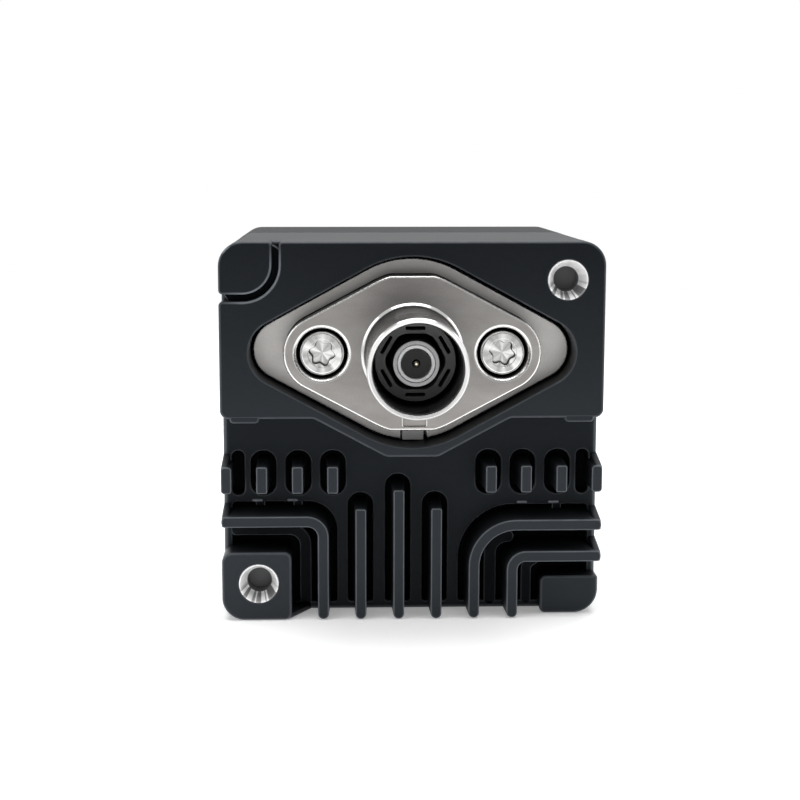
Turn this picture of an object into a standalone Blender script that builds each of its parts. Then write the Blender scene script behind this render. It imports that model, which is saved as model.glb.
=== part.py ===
"""Compact square camera with a finned die-cast back, a round locking coax connector and a nosepiece.

The back faces -Y, +X is to the right when the back is looked at, +Z is up. The origin is on the
underside of the body. Sizes below are in millimetres and are turned into metres as meshes are made.
"""

import math

import bmesh
import bpy

MM = 0.001

# Driving dimensions of the body.
BODY = 44.0                     # width and height of the square body
HALF = BODY / 2
BODY_CORNER = 2.8               # radius of the body's four long edges
FACE_Y = -18.0                  # back face: upper block, fins and lower left boss
MID_Y = FACE_Y + 3.5            # recessed base surface of the finned half
SLOT_Y = FACE_Y + 5.5           # floors of the slots between the fins
SPLIT_Y = 2.0                   # front end of the rear housing
GAP = 0.3                       # clearance between separate pieces
THIN_GAP = 0.1                  # clearance across flat stacked faces
FRONT_START_Y = SPLIT_Y + GAP
FRONT_END_Y = 18.3              # front face of the body
PAST = 3.0                      # how far cutters run past the faces they open

# Fins of the lower half.
FIN_HALF = 0.63                 # half of a fin's thickness at the back face
FIN_DRAFT = 0.035               # widening per millimetre of depth
SIDE_LIP = 1.0                  # low wall that closes the slots at the sides and the underside
LONG_FINS = ((-5.92, 13.1), (-1.52, 15.33), (2.84, 13.15))
LONG_SLOT_HALF = 1.47
LONG_SLOT_RISE = 1.1            # how far a slot reaches above its fin
SHORT_FIN_XS = (9.15, 13.2, 17.3, 21.4)
SHORT_FIN_Z = (14.97, 18.11)
SHORT_POCKET_Z = (14.0, 19.28)
SHORT_POCKET_HALF = 1.48
LEFT_BEND = ((-10.27, 11.65), 1.85)
RIGHT_OUTER_BEND = ((7.23, 11.09), 4.9)
RIGHT_INNER_BEND = ((11.68, 7.35), 1.6)
FIN_SIDE_GAP = 1.57             # from a bent fin's centre line to the edge of its slot
RIB_HALF = 0.74
FOOT_WIDTH = 0.88               # how far a foot reaches in from the side face
END_FOOT = 0.85                 # how far a fin's foot spreads where it crosses the side lip

# Upper block and bosses.
BLOCK_Z = 23.7
BLOCK_LOW_Z = 19.2
BLOCK_SLANT_X = (3.0, 11.3)
LEFT_BOSS = (-13.95, 8.04)
RIGHT_BOSS = (15.2, 4.5)
RIGHT_BOSS_DROP = 1.6
GROOVE_X = -15.55
GROOVE_Z = 37.6
GROOVE_BEND = 3.8
GROOVE_HALF = 0.4
GROOVE_DEPTH = 1.6

# Threaded inserts.
INSERTS = {"insert_top_right": (17.65, 39.6), "insert_bottom_left": (-17.75, 4.35)}
INSERT_R = 2.3
INSERT_BORE_R = 1.28
INSERT_LENGTH = 5.8
INSERT_CONE_Y = FACE_Y + 1.9    # inner end of the countersunk mouth
INSERT_FLOOR_Y = FACE_Y + 3.4   # bottom of the blind bore

# Connector.
PORT_Z = 31.2
RIM_TIP_X = 14.8
RIM_TIP_R = 3.65
RIM_R = 10.75
RIM_Y = FACE_Y + 3.6
FLANGE_BACK_Y = -12.3
GASKET_TAB_Y = RIM_Y + 0.45     # top of the gasket's tab in the notch
POCKET_Y = -11.7
PLATEAU_TIP_R = 4.4
PLATEAU_R = 9.25
PLATEAU_HALF_HEIGHT = 8.9
SCREW_X = 10.32
BARREL_R = 5.45
BARREL_BORE_R = 4.8
BARREL_END_Y = FACE_Y - 11.5
BARREL_RING_R = 5.88
SLEEVE_R = 4.45
SLEEVE_Y = FACE_Y - 5.75
COAX_Y = FACE_Y - 7.4
NOTCH_X = (-1.1, 1.6)

# Inside.
CAVITY_Y = -8.0
CAVITY_HALF = 19.0
CAVITY_Z = (3.0, 41.0)
CORNER_POST = 6.2
CENTRE_Z = HALF
PEDESTAL_HALF = 7.0
PEDESTAL_Z = 20.0
PEDESTAL_Y = -1.0
MAIN_BOARD_Y = (-4.5, -2.9)
SENSOR_BOARD_Y = (6.1, 7.3)
FRONT_WALL_Y = 12.0
BOARD_POSTS = ((-16.0, 14.0), (16.0, 14.0), (16.0, 30.0), (-16.0, 30.0))
SENSOR_POSTS = ((-16.7, 17.0), (16.7, 27.0))
RETAINER_SCREW_X = 13.0
HOUSING_SCREW_XZ = 18.2

# Front.
MOUNT_BORE_R = 12.7             # one inch thread bore
MOUNT_BORE_Y = 14.7
WINDOW_OPENING_R = 9.2
WINDOW_SEAT_R = 11.3
NOSE_R = 15.85                  # one and a quarter inch barrel
NOSE_FLANGE_R = 18.0
NOSE_BORE_R = 13.8
FILTER_BORE_R = 14.3            # thread for a filter at the barrel's end
UNDERCUT_R = 15.35
NOSE_END_Y = 46.0
CAP_R = 17.2
CAP_BORE_R = 16.0
CAP_MOUTH_Y = 34.0
CAP_END_Y = 48.2


def clear_scene():
    for old in list(bpy.data.objects):
        bpy.data.objects.remove(old)


# ---- outlines in the X-Z plane -------------------------------------------------------------

def corner_arc(before, corner, after, radius):
    """Points of the arc that rounds one corner of an outline."""
    ux, uz = before[0] - corner[0], before[1] - corner[1]
    vx, vz = after[0] - corner[0], after[1] - corner[1]
    u_len, v_len = math.hypot(ux, uz), math.hypot(vx, vz)
    ux, uz, vx, vz = ux / u_len, uz / u_len, vx / v_len, vz / v_len
    half_angle = math.acos(max(-1.0, min(1.0, ux * vx + uz * vz))) / 2
    reach = radius / math.tan(half_angle)
    bx, bz = ux + vx, uz + vz
    b_len = math.hypot(bx, bz)
    cx = corner[0] + bx / b_len * radius / math.sin(half_angle)
    cz = corner[1] + bz / b_len * radius / math.sin(half_angle)
    start = math.atan2(corner[1] + uz * reach - cz, corner[0] + ux * reach - cx)
    end = math.atan2(corner[1] + vz * reach - cz, corner[0] + vx * reach - cx)
    sweep = (end - start + math.pi) % (2 * math.pi) - math.pi
    steps = max(2, math.ceil(abs(sweep) / math.radians(30)))
    return [(cx + radius * math.cos(start + sweep * i / steps),
             cz + radius * math.sin(start + sweep * i / steps)) for i in range(steps + 1)]


def rounded(corners):
    """Closed outline from (x, z, radius) corners."""
    points = []
    count = len(corners)
    for i, (x, z, radius) in enumerate(corners):
        if radius <= 0:
            points.append((x, z))
        else:
            points += corner_arc(corners[i - 1][:2], (x, z), corners[(i + 1) % count][:2], radius)
    return points


def rounded_box(x0, x1, z0, z1, radius):
    return rounded([(x0, z0, radius), (x1, z0, radius), (x1, z1, radius), (x0, z1, radius)])


def centre_line(corners):
    """Open path from (x, z, radius) corners; its two ends stay sharp."""
    points = [corners[0][:2]]
    for before, corner, after in zip(corners, corners[1:], corners[2:]):
        points += corner_arc(before[:2], corner[:2], after[:2], corner[2])
    points.append(corners[-1][:2])
    return points


def half_circle(centre, direction, radius, steps=4):
    start = math.atan2(direction[1], direction[0]) + math.pi / 2
    return [(centre[0] + radius * math.cos(start - math.pi * i / steps),
             centre[1] + radius * math.sin(start - math.pi * i / steps)) for i in range(1, steps)]


def ribbon(path, half, round_end=False):
    """Outline of a strip of even width along a path; its last end can be round."""
    left, right = [], []
    last = len(path) - 1
    for i, (x, z) in enumerate(path):
        before, after = path[max(i - 1, 0)], path[min(i + 1, last)]
        dx, dz = after[0] - before[0], after[1] - before[1]
        length = math.hypot(dx, dz)
        left.append((x - dz / length * half, z + dx / length * half))
        right.append((x + dz / length * half, z - dx / length * half))
    end = []
    if round_end:
        tip, neck = path[-1], path[-2]
        end = half_circle(tip, (tip[0] - neck[0], tip[1] - neck[1]), half)
    return left + end + right[::-1]


def circle(cx, cz, radius, steps=40):
    return [(cx + radius * math.cos(2 * math.pi * i / steps),
             cz + radius * math.sin(2 * math.pi * i / steps)) for i in range(steps)]


def hull(points):
    """Convex outline around a set of points."""
    ordered = sorted(set(points))

    def chain(sequence):
        line = []
        for p in sequence:
            while len(line) > 1 and ((line[-1][0] - line[-2][0]) * (p[1] - line[-2][1])
                                     - (line[-1][1] - line[-2][1]) * (p[0] - line[-2][0])) <= 1e-9:
                line.pop()
            line.append(p)
        return line[:-1]

    return chain(ordered) + chain(ordered[::-1])


def diamond(middle_r, tip_x, tip_r, half_height=99.0):
    """Outline around one centre circle and two tip circles, flattened at top and bottom."""
    points = circle(0, 0, middle_r) + circle(tip_x, 0, tip_r, 24) + circle(-tip_x, 0, tip_r, 24)
    flat = [(x, max(-half_height, min(half_height, z))) for x, z in points]
    return [(x, z + PORT_Z) for x, z in hull(flat)]


def star(radius, wave, lobes=6, steps=12, turn=math.radians(4.3)):
    """Lobed outline of a screw recess, about its own centre."""
    outline = []
    for i in range(steps):
        angle = 2 * math.pi * i / steps + turn
        r = radius + wave * math.cos(lobes * (angle - turn))
        outline.append((r * math.cos(angle), r * math.sin(angle)))
    return outline


def add_loft(bm, near, near_y, far, far_y):
    """Closed solid between two outlines with equal point counts, at two depths."""
    near_ring = [bm.verts.new((x * MM, near_y * MM, z * MM)) for x, z in near]
    far_ring = [bm.verts.new((x * MM, far_y * MM, z * MM)) for x, z in far]
    bm.faces.new(near_ring)
    bm.faces.new(far_ring[::-1])
    count = len(near)
    for i in range(count):
        j = (i + 1) % count
        bm.faces.new((near_ring[j], near_ring[i], far_ring[i], far_ring[j]))


def add_prism(bm, outline, near_y, far_y):
    add_loft(bm, outline, near_y, outline, far_y)


def add_turned(bm, profile, steps=36):
    """Closed solid of revolution about the Y axis from (radius, y) points."""
    rings = []
    for radius, y in profile:
        if radius < 1e-6:
            rings.append([bm.verts.new((0, y * MM, 0))])
            continue
        rings.append([bm.verts.new((radius * MM * math.cos(2 * math.pi * i / steps), y * MM,
                                    radius * MM * math.sin(2 * math.pi * i / steps)))
                      for i in range(steps)])
    for ring, following in zip(rings, rings[1:] + rings[:1]):
        for i in range(steps):
            j = (i + 1) % steps
            quad = [ring[i % len(ring)], ring[j % len(ring)],
                    following[j % len(following)], following[i % len(following)]]
            unique = list(dict.fromkeys(quad))
            if len(unique) > 2:
                bm.faces.new(unique)


def finish(name, bm, place=(0, 0, 0), smooth=False):
    bmesh.ops.recalc_face_normals(bm, faces=bm.faces)
    mesh = bpy.data.meshes.new(name)
    bm.to_mesh(mesh)
    bm.free()
    piece = bpy.data.objects.new(name, mesh)
    piece.location = [value * MM for value in place]
    bpy.context.scene.collection.objects.link(piece)
    if smooth:
        mesh.shade_smooth()
        mesh.set_sharp_from_angle(angle=math.radians(35))
    return piece


def prism(name, outline, near_y, far_y, place=(0, 0, 0)):
    bm = bmesh.new()
    add_prism(bm, outline, near_y, far_y)
    return finish(name, bm, place)


def turned(name, profile, x=0.0, z=0.0, steps=36):
    bm = bmesh.new()
    add_turned(bm, profile, steps)
    return finish(name, bm, (x, 0, z), smooth=True)


def guide(piece):
    """Marks a piece as a cutter or a guide for Booleans, not as a part of the object."""
    piece.hide_render = True
    piece.display_type = "WIRE"
    return piece


def boolean(piece, operation, operand):
    change = piece.modifiers.new(operation.lower(), "BOOLEAN")
    change.solver = "EXACT"
    change.operation = operation
    if isinstance(operand, list):
        group = bpy.data.collections.new(piece.name + "_" + operation.lower())
        for item in operand:
            group.objects.link(guide(item))
        change.operand_type = "COLLECTION"
        change.collection = group
    else:
        change.object = guide(operand)


def paint(piece, colour, roughness, metallic=0.0, alpha=1.0):
    """Gives a piece its own Principled material."""
    material = bpy.data.materials.new(piece.name)
    material.use_nodes = True
    shader = material.node_tree.nodes["Principled BSDF"]
    shader.inputs["Base Color"].default_value = (*colour, 1)
    shader.inputs["Roughness"].default_value = roughness
    shader.inputs["Metallic"].default_value = metallic
    shader.inputs["Alpha"].default_value = alpha
    material.diffuse_color = (*colour, alpha)
    piece.data.materials.append(material)
    return piece


def paint_black_casting(piece):
    return paint(piece, (0.022, 0.024, 0.026), 0.45)


def paint_steel(piece):
    return paint(piece, (0.62, 0.61, 0.59), 0.25, 1.0)


def paint_flange(piece):
    return paint(piece, (0.36, 0.35, 0.33), 0.4, 1.0)


def paint_black_plastic(piece):
    return paint(piece, (0.02, 0.02, 0.02), 0.5)


def paint_rubber(piece):
    return paint(piece, (0.03, 0.03, 0.03), 0.8)


def paint_board(piece):
    return paint(piece, (0.02, 0.09, 0.04), 0.45)


# ---- fins and other features kept above the recessed surface --------------------------------

def fin_half(y):
    return FIN_HALF + (y - FACE_Y) * FIN_DRAFT


def add_fin(bm, path, round_end=True):
    """Drafted wall along a path, from in front of the back face to below the slot floors."""
    top, base = FACE_Y - PAST, SLOT_Y + 1
    add_loft(bm, ribbon(path, fin_half(top), round_end), top, ribbon(path, fin_half(base), round_end), base)


def new_guide(name, build):
    bm = bmesh.new()
    build(bm)
    return guide(finish(name, bm))


def bent_path(bend, side_x, low_z):
    """Path from the side of the body, round the bend and down to the underside."""
    (x, z), radius = bend
    return centre_line([(side_x, z, 0), (x, z, radius), (x, low_z, 0)])


def fin_paths():
    end_z = fin_half(FACE_Y) + 0.02
    side = HALF - fin_half(FACE_Y)
    paths = [[(x, top - 0.2), (x, end_z)] for x, top in LONG_FINS]
    paths.append(bent_path(LEFT_BEND, -side, end_z))
    paths.append(bent_path(RIGHT_OUTER_BEND, side, end_z))
    paths.append(bent_path(RIGHT_INNER_BEND, side, end_z))
    return paths


def make_fins():
    fins = []
    for number, path in enumerate(fin_paths()):
        fins.append(new_guide(f"fin_{number}", lambda bm: add_fin(bm, path)))
    for number, (bend, sign) in enumerate(((LEFT_BEND, -1), (RIGHT_OUTER_BEND, 1), (RIGHT_INNER_BEND, 1))):
        fins.append(make_end_foot(f"fin_side_{number}", sign, bend[0][1]))
    for sign in (-1, 1):
        for x in SHORT_FIN_XS:
            fins.append(make_short_fin(sign * x))
        fins.append(make_short_fin_foot(sign))
    return fins


def make_end_foot(name, sign, z):
    """Sloping foot where a fin crosses the lip at the side of the body."""
    inner, outer = HALF - FOOT_WIDTH, HALF - 0.02
    xs = (sign * inner, sign * outer)
    low, high = min(xs), max(xs)
    top = rounded_box(low, high, z - FIN_HALF, z + FIN_HALF, 0.25)
    base = rounded_box(low, high, z - FIN_HALF - 0.3, z + FIN_HALF + END_FOOT, 0.25)
    return new_guide(name, lambda bm: add_loft(bm, top, FACE_Y, base, MID_Y + 0.5))


def make_short_fin(x):
    low, high = SHORT_FIN_Z
    top, base = FACE_Y - PAST, SLOT_Y + 1
    edge = PAST if abs(x) + FIN_HALF > HALF - 0.1 else 0.0

    def outline(y):
        half = fin_half(y)
        left = x - half - (edge if x < 0 else 0)
        right = x + half + (edge if x > 0 else 0)
        return rounded_box(left, right, low - half + FIN_HALF, high + half - FIN_HALF, 0.12)

    return new_guide("short_fin", lambda bm: add_loft(bm, outline(top), top, outline(base), base))


def make_short_fin_foot(sign):
    """Sloping foot above the outermost short fin."""
    inner, outer = HALF - FOOT_WIDTH, HALF + 0.5
    low_x, high_x = sorted((sign * inner, sign * outer))
    low, high = SHORT_FIN_Z
    top = rounded_box(low_x, high_x, low + 0.2, high, 0.2)
    base = rounded_box(low_x, high_x, low - 0.3, high + END_FOOT, 0.2)
    return new_guide("short_fin_foot", lambda bm: add_loft(bm, top, FACE_Y, base, MID_Y + 0.5))


def make_bosses():
    x, z = LEFT_BOSS
    side = -HALF
    left = rounded([(side - PAST, -PAST, 0), (x - 0.8, -PAST, 0), (x - 0.8, -0.01, 0), (x, 0.8, 0.4),
                    (x, z, 0.8), (side + 1.2, z, 0.5), (side, z - 1.2, 0.4), (side - PAST, z - 1.2, 0)])
    foot = rounded_box(x - 1, x + 2.3, -PAST, SIDE_LIP * 0.9, 0.3)
    foot_top = rounded_box(x - 1, x, -PAST, 0.3, 0.1)
    right = rounded([(RIGHT_BOSS[0], -PAST, 0), (HALF + PAST, -PAST, 0), (HALF + PAST, RIGHT_BOSS[1], 0),
                     (RIGHT_BOSS[0], RIGHT_BOSS[1], 0.7)])
    bumps = []
    for sign in (-1, 1):
        bump = rounded_box(sign * 19.2 - 1.7, sign * 19.2 + 1.7, BLOCK_Z - 0.5, BLOCK_Z + 1, 0.45)
        bumps.append(guide(prism("block_bump", bump, FACE_Y - PAST, SLOT_Y + 1)))
    return [guide(prism("left_boss", left, FACE_Y - PAST, SLOT_Y + 1)),
            new_guide("left_boss_foot", lambda bm: add_loft(bm, foot_top, FACE_Y, foot, MID_Y + 0.5)),
            guide(prism("right_boss", right, FACE_Y + RIGHT_BOSS_DROP, SLOT_Y + 1))] + bumps


def make_ribs():
    """Low ribs whose tops lie level with the recessed surface."""
    left = centre_line([(-HALF - PAST, 9.8, 0), (-12.4, 9.8, 1.3), (-12.4, -PAST, 0)])
    outer = centre_line([(11.6, 8.8, 0), (9.45, 8.6, 2.0), (9.45, -PAST, 0)])
    inner = centre_line([(14.9, 6.1, 0), (13.77, 5.3, 0.95), (13.77, -PAST, 0)])
    ribs = [guide(prism("left_rib", ribbon(left, 0.66), MID_Y, SLOT_Y + 1)),
            guide(prism("right_rib", ribbon(outer, RIB_HALF), MID_Y, SLOT_Y + 1)),
            guide(prism("inner_rib", ribbon(inner, RIB_HALF - 0.1), MID_Y, SLOT_Y + 1))]
    for sign in (-1, 1):
        low = rounded_box(sign * 17.6 - 0.6, sign * 17.6 + 0.6, 11.6, 13.4, 0.2)
        ribs.append(guide(prism("floor_rib", low, SLOT_Y - 0.7, SLOT_Y + 1)))
    return ribs


def recessed_outline():
    """The lower area of the back, bounded above by the block that carries the connector."""
    half = [(HALF + PAST, -PAST, 0), (HALF + PAST, BLOCK_Z + 1, 0), (HALF - 0.02, BLOCK_Z + 1, 0),
            (HALF - 0.3, BLOCK_Z + 0.3, 0.4), (HALF - 1, BLOCK_Z, 0.4),
            (BLOCK_SLANT_X[1], BLOCK_Z, 1.5), (BLOCK_SLANT_X[0], BLOCK_LOW_Z, 1.5)]
    other = [(-x, z, r) for x, z, r in half[::-1]]
    return rounded(half + other)


def add_slots(bm):
    """All slots and pockets beside the fins, as separate prisms."""
    inner = HALF - SIDE_LIP
    near, far = FACE_Y - PAST, SLOT_Y
    for x, top in LONG_FINS:
        radius = LONG_SLOT_HALF - 0.05
        outline = rounded([(x - LONG_SLOT_HALF, SIDE_LIP, 0.3), (x + LONG_SLOT_HALF, SIDE_LIP, 0.3),
                           (x + LONG_SLOT_HALF, top + LONG_SLOT_RISE, radius),
                           (x - LONG_SLOT_HALF, top + LONG_SLOT_RISE, radius)])
        add_prism(bm, outline, near, far)
    (x, z), bend = LEFT_BEND
    edge = x + FIN_SIDE_GAP
    add_prism(bm, rounded([(-inner, SIDE_LIP, 0.3), (edge, SIDE_LIP, 0.3),
                           (edge, z + FIN_SIDE_GAP - 0.05, bend + FIN_SIDE_GAP),
                           (-inner, z + FIN_SIDE_GAP - 0.05, 0.4)]), near, far)
    (x, z), bend = RIGHT_OUTER_BEND
    edge = x - FIN_SIDE_GAP
    add_prism(bm, rounded([(inner, SIDE_LIP, 0.3), (inner, z + FIN_SIDE_GAP, 0.4),
                           (edge, z + FIN_SIDE_GAP, bend + FIN_SIDE_GAP), (edge, SIDE_LIP, 0.3)]), near, far)
    low, high = SHORT_POCKET_Z
    for sign in (-1, 1):
        for x in SHORT_FIN_XS:
            left = max(sign * x - SHORT_POCKET_HALF, -inner)
            right = min(sign * x + SHORT_POCKET_HALF, inner)
            radius = min(1.4, (right - left) / 2 - 0.05)
            add_prism(bm, rounded_box(left, right, low, high, radius), near, far)


def make_recess_cutters():
    kept = make_fins() + make_bosses()
    ribs = make_ribs()
    recess = guide(prism("recess", recessed_outline(), FACE_Y - PAST - 1, MID_Y))
    boolean(recess, "DIFFERENCE", kept)
    slots = new_guide("slots", add_slots)
    boolean(slots, "DIFFERENCE", kept + ribs)
    return recess, slots


# ---- rear housing --------------------------------------------------------------------------

def cavity_outline(post=CORNER_POST, inset=0.0):
    """Square with its four corners left to the screw posts."""
    half = CAVITY_HALF - inset
    low, high = CAVITY_Z[0] + inset, CAVITY_Z[1] - inset
    right = [(half - post, low), (half - post, low + post), (half, low + post),
             (half, high - post), (half - post, high - post), (half - post, high)]
    return right + [(-x, z) for x, z in right[::-1]]


def housing_screw_places():
    for sx, sz in ((-1, -1), (1, -1), (1, 1), (-1, 1)):
        yield sx * HOUSING_SCREW_XZ, CENTRE_Z + sz * HOUSING_SCREW_XZ


def body_outline(inset=0.0, radius=BODY_CORNER):
    return rounded_box(-HALF + inset, HALF - inset, inset, BODY - inset, radius)


def make_groove():
    path = centre_line([(GROOVE_X, BODY + PAST, 0), (GROOVE_X, GROOVE_Z, GROOVE_BEND),
                        (-HALF - PAST, GROOVE_Z, 0)])
    return prism("pad_groove", ribbon(path, GROOVE_HALF), FACE_Y - 1, FACE_Y + GROOVE_DEPTH)


def make_rear_cavity():
    """Cutter for the inside of the rear housing, less its pedestal and board posts."""
    cavity = prism("rear_cavity", cavity_outline(), CAVITY_Y, SPLIT_Y + 1)
    pedestal = rounded_box(-PEDESTAL_HALF, PEDESTAL_HALF, PEDESTAL_Z - PEDESTAL_HALF,
                           PEDESTAL_Z + PEDESTAL_HALF, 1.0)
    kept = [prism("pedestal", pedestal, CAVITY_Y - 1, PEDESTAL_Y)]
    for x, z in BOARD_POSTS:
        kept.append(hole("board_post", x, z, 2.2, CAVITY_Y - 1, MAIN_BOARD_Y[0] - GAP, 12))
    boolean(cavity, "DIFFERENCE", kept)
    return cavity


def hole(name, x, z, radius, near_y, far_y, steps=20):
    return turned(name, [(0, near_y), (radius, near_y), (radius, far_y), (0, far_y)], x, z, steps)


def make_rear_housing():
    housing = prism("rear_housing", body_outline(), FACE_Y, SPLIT_Y)
    recess, slots = make_recess_cutters()
    boolean(housing, "DIFFERENCE", [recess, slots])
    pocket = diamond(RIM_R + GAP, RIM_TIP_X, RIM_TIP_R + GAP)
    cutters = [prism("flange_pocket", pocket, FACE_Y - 1, POCKET_Y),
               hole("port_hole", 0, PORT_Z, 3.0, POCKET_Y - 1, CAVITY_Y + 0.5), make_groove()]
    for x, z in INSERTS.values():
        cutters.append(hole("insert_hole", x, z, INSERT_R + 0.12, FACE_Y - 1, FACE_Y + INSERT_LENGTH + GAP))
    for side in (-1, 1):
        x = side * SCREW_X
        cutters.append(hole("flange_screw_hole", x, PORT_Z, 1.3, POCKET_Y - 1, CAVITY_Y - 0.6, 14))
    for x, z in housing_screw_places():
        cutters.append(hole("post_hole", x, z, 1.45, -6.0, SPLIT_Y + 1, 12))
    for x, z in BOARD_POSTS:
        cutters.append(hole("board_post_hole", x, z, 0.95, MAIN_BOARD_Y[0] - 2.6, MAIN_BOARD_Y[0], 10))
    cutters.append(make_rear_cavity())
    boolean(housing, "DIFFERENCE", cutters)
    return paint_black_casting(housing)


# ---- front housing and joining hardware ------------------------------------------------------

def make_front_cavity():
    cavity = prism("front_cavity", cavity_outline(), FRONT_START_Y - 1, FRONT_WALL_Y)
    posts = []
    for x, z in SENSOR_POSTS:
        posts.append(hole("sensor_post", x, z, 1.9, SENSOR_BOARD_Y[1] + GAP, FRONT_WALL_Y + 1, 12))
    boolean(cavity, "DIFFERENCE", posts)
    return cavity


def make_front_housing():
    housing = prism("front_housing", body_outline(), FRONT_START_Y, FRONT_END_Y)
    cutters = [make_front_cavity(),
               hole("window_opening", 0, CENTRE_Z, WINDOW_OPENING_R, FRONT_WALL_Y - 1, MOUNT_BORE_Y + 1, 36),
               hole("window_seat", 0, CENTRE_Z, WINDOW_SEAT_R, FRONT_WALL_Y - 1, FRONT_WALL_Y + 1.5, 36),
               hole("mount_bore", 0, CENTRE_Z, MOUNT_BORE_R, MOUNT_BORE_Y, FRONT_END_Y + 1, 40)]
    for x, z in housing_screw_places():
        cutters.append(hole("screw_way", x, z, 1.45, FRONT_START_Y - 1, FRONT_END_Y - 2, 12))
        cutters.append(hole("screw_counterbore", x, z, 2.4, FRONT_END_Y - 3, FRONT_END_Y + 1, 18))
    for side in (-1, 1):
        x = side * RETAINER_SCREW_X
        cutters.append(hole("retainer_hole", x, CENTRE_Z, 0.85, FRONT_WALL_Y - 1, 14.1, 10))
    for x, z in SENSOR_POSTS:
        cutters.append(hole("sensor_post_hole", x, z, 0.85, SENSOR_BOARD_Y[1], SENSOR_BOARD_Y[1] + 3.2, 10))
    ring_outer, ring_inner = body_outline(0.9, 2.0), body_outline(2.2, 1.0)
    groove = prism("gasket_groove", ring_outer, FRONT_START_Y - 1, FRONT_START_Y + 0.7)
    island = prism("gasket_island", ring_inner, FRONT_START_Y - 2, FRONT_START_Y + 2)
    boolean(groove, "DIFFERENCE", island)
    cutters.append(groove)
    boolean(housing, "DIFFERENCE", cutters)
    return paint(housing, (0.016, 0.017, 0.019), 0.5)


def make_housing_gasket():
    """Square seal that fills the groove at the split line."""
    gasket = prism("housing_gasket", body_outline(1.1, 1.8), SPLIT_Y + THIN_GAP, FRONT_START_Y + 0.6)
    inside = prism("gasket_inside", body_outline(2.0, 1.1), SPLIT_Y - 1, FRONT_START_Y + 2)
    boolean(gasket, "DIFFERENCE", inside)
    return paint_rubber(gasket)


def cap_screw(name, x, z, head_r, head_y, shank_r, shank_y, recess, steps=12):
    """Screw whose head is at head_y = (outer face, seat) and whose shank ends at shank_y."""
    outer, seat = head_y
    toward = 1 if seat > outer else -1
    edge = 0.15 * toward
    profile = [(0, outer), (head_r - 0.3, outer), (head_r, outer + 2 * edge), (head_r, seat),
               (shank_r, seat), (shank_r, shank_y), (0, shank_y)]
    screw = turned(name, profile, x, z, steps)
    floor = outer + toward * recess * 0.62
    drive = prism(name + "_drive", star(recess, recess * 0.14), outer - toward, floor, (x, 0, z))
    boolean(screw, "DIFFERENCE", drive)
    return paint_steel(screw)


def make_screws():
    head = (FRONT_END_Y - 0.5, FRONT_END_Y - 2.9)
    for number, (x, z) in enumerate(housing_screw_places(), 1):
        cap_screw(f"housing_screw_{number}", x, z, 2.2, head, 1.25, -4.5, 1.0)
    for number, (x, z) in enumerate(BOARD_POSTS, 1):
        cap_screw(f"board_screw_{number}", x, z, 1.6, (MAIN_BOARD_Y[1] + 1.1, MAIN_BOARD_Y[1] + THIN_GAP),
                  0.8, MAIN_BOARD_Y[0] - 2.2, 0.75)
    for side, (x, z) in zip(("left", "right"), SENSOR_POSTS):
        cap_screw(f"sensor_screw_{side}", x, z, 1.4, (SENSOR_BOARD_Y[0] - 1.0, SENSOR_BOARD_Y[0] - THIN_GAP),
                  0.7, SENSOR_BOARD_Y[1] + 2.8, 0.65)
    for side, x in (("left", -RETAINER_SCREW_X), ("right", RETAINER_SCREW_X)):
        cap_screw(f"retainer_screw_{side}", x, CENTRE_Z, 1.3, (9.9, 10.8), 0.7, 13.8, 0.6)


def make_inserts():
    """Threaded bushes with a countersunk mouth and a blind bore."""
    back = FACE_Y + INSERT_LENGTH
    profile = [(0, back), (INSERT_R, back), (INSERT_R, FACE_Y), (2.1, FACE_Y), (INSERT_BORE_R, INSERT_CONE_Y),
               (INSERT_BORE_R, INSERT_FLOOR_Y), (0, INSERT_FLOOR_Y)]
    for name, (x, z) in INSERTS.items():
        paint_steel(turned(name, profile, x, z, 24))


# ---- connector -----------------------------------------------------------------------------

def make_connector_flange():
    flange = prism("connector_flange", diamond(RIM_R, RIM_TIP_X, RIM_TIP_R), RIM_Y, FLANGE_BACK_Y)
    plateau = diamond(PLATEAU_R, SCREW_X, PLATEAU_TIP_R, PLATEAU_HALF_HEIGHT)
    boolean(flange, "UNION", prism("flange_plateau", plateau, FACE_Y, RIM_Y + 1))
    low_edge = PORT_Z - PLATEAU_HALF_HEIGHT
    notch = rounded_box(*NOTCH_X, PORT_Z - RIM_R - 1, low_edge - 0.35, 0.2)
    pad = rounded_box(*NOTCH_X, low_edge - 1, PORT_Z - BARREL_RING_R - 0.4, 0.2)
    cutters = [prism("rim_notch", notch, RIM_Y - 1, FLANGE_BACK_Y + 1),
               prism("plateau_pad", pad, FACE_Y - 1, FACE_Y + 0.25),
               hole("barrel_way", 0, PORT_Z, BARREL_R + 0.15, FACE_Y - 1, FLANGE_BACK_Y + 1, 36)]
    for side in (-1, 1):
        x = side * SCREW_X
        cutters.append(hole("flange_counterbore", x, PORT_Z, 2.95, FACE_Y - 1, FACE_Y + 1.8, 28))
        cutters.append(hole("flange_screw_way", x, PORT_Z, 1.45, FACE_Y + 1, FLANGE_BACK_Y + 1, 14))
    boolean(flange, "DIFFERENCE", cutters)
    return paint_flange(flange)


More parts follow.
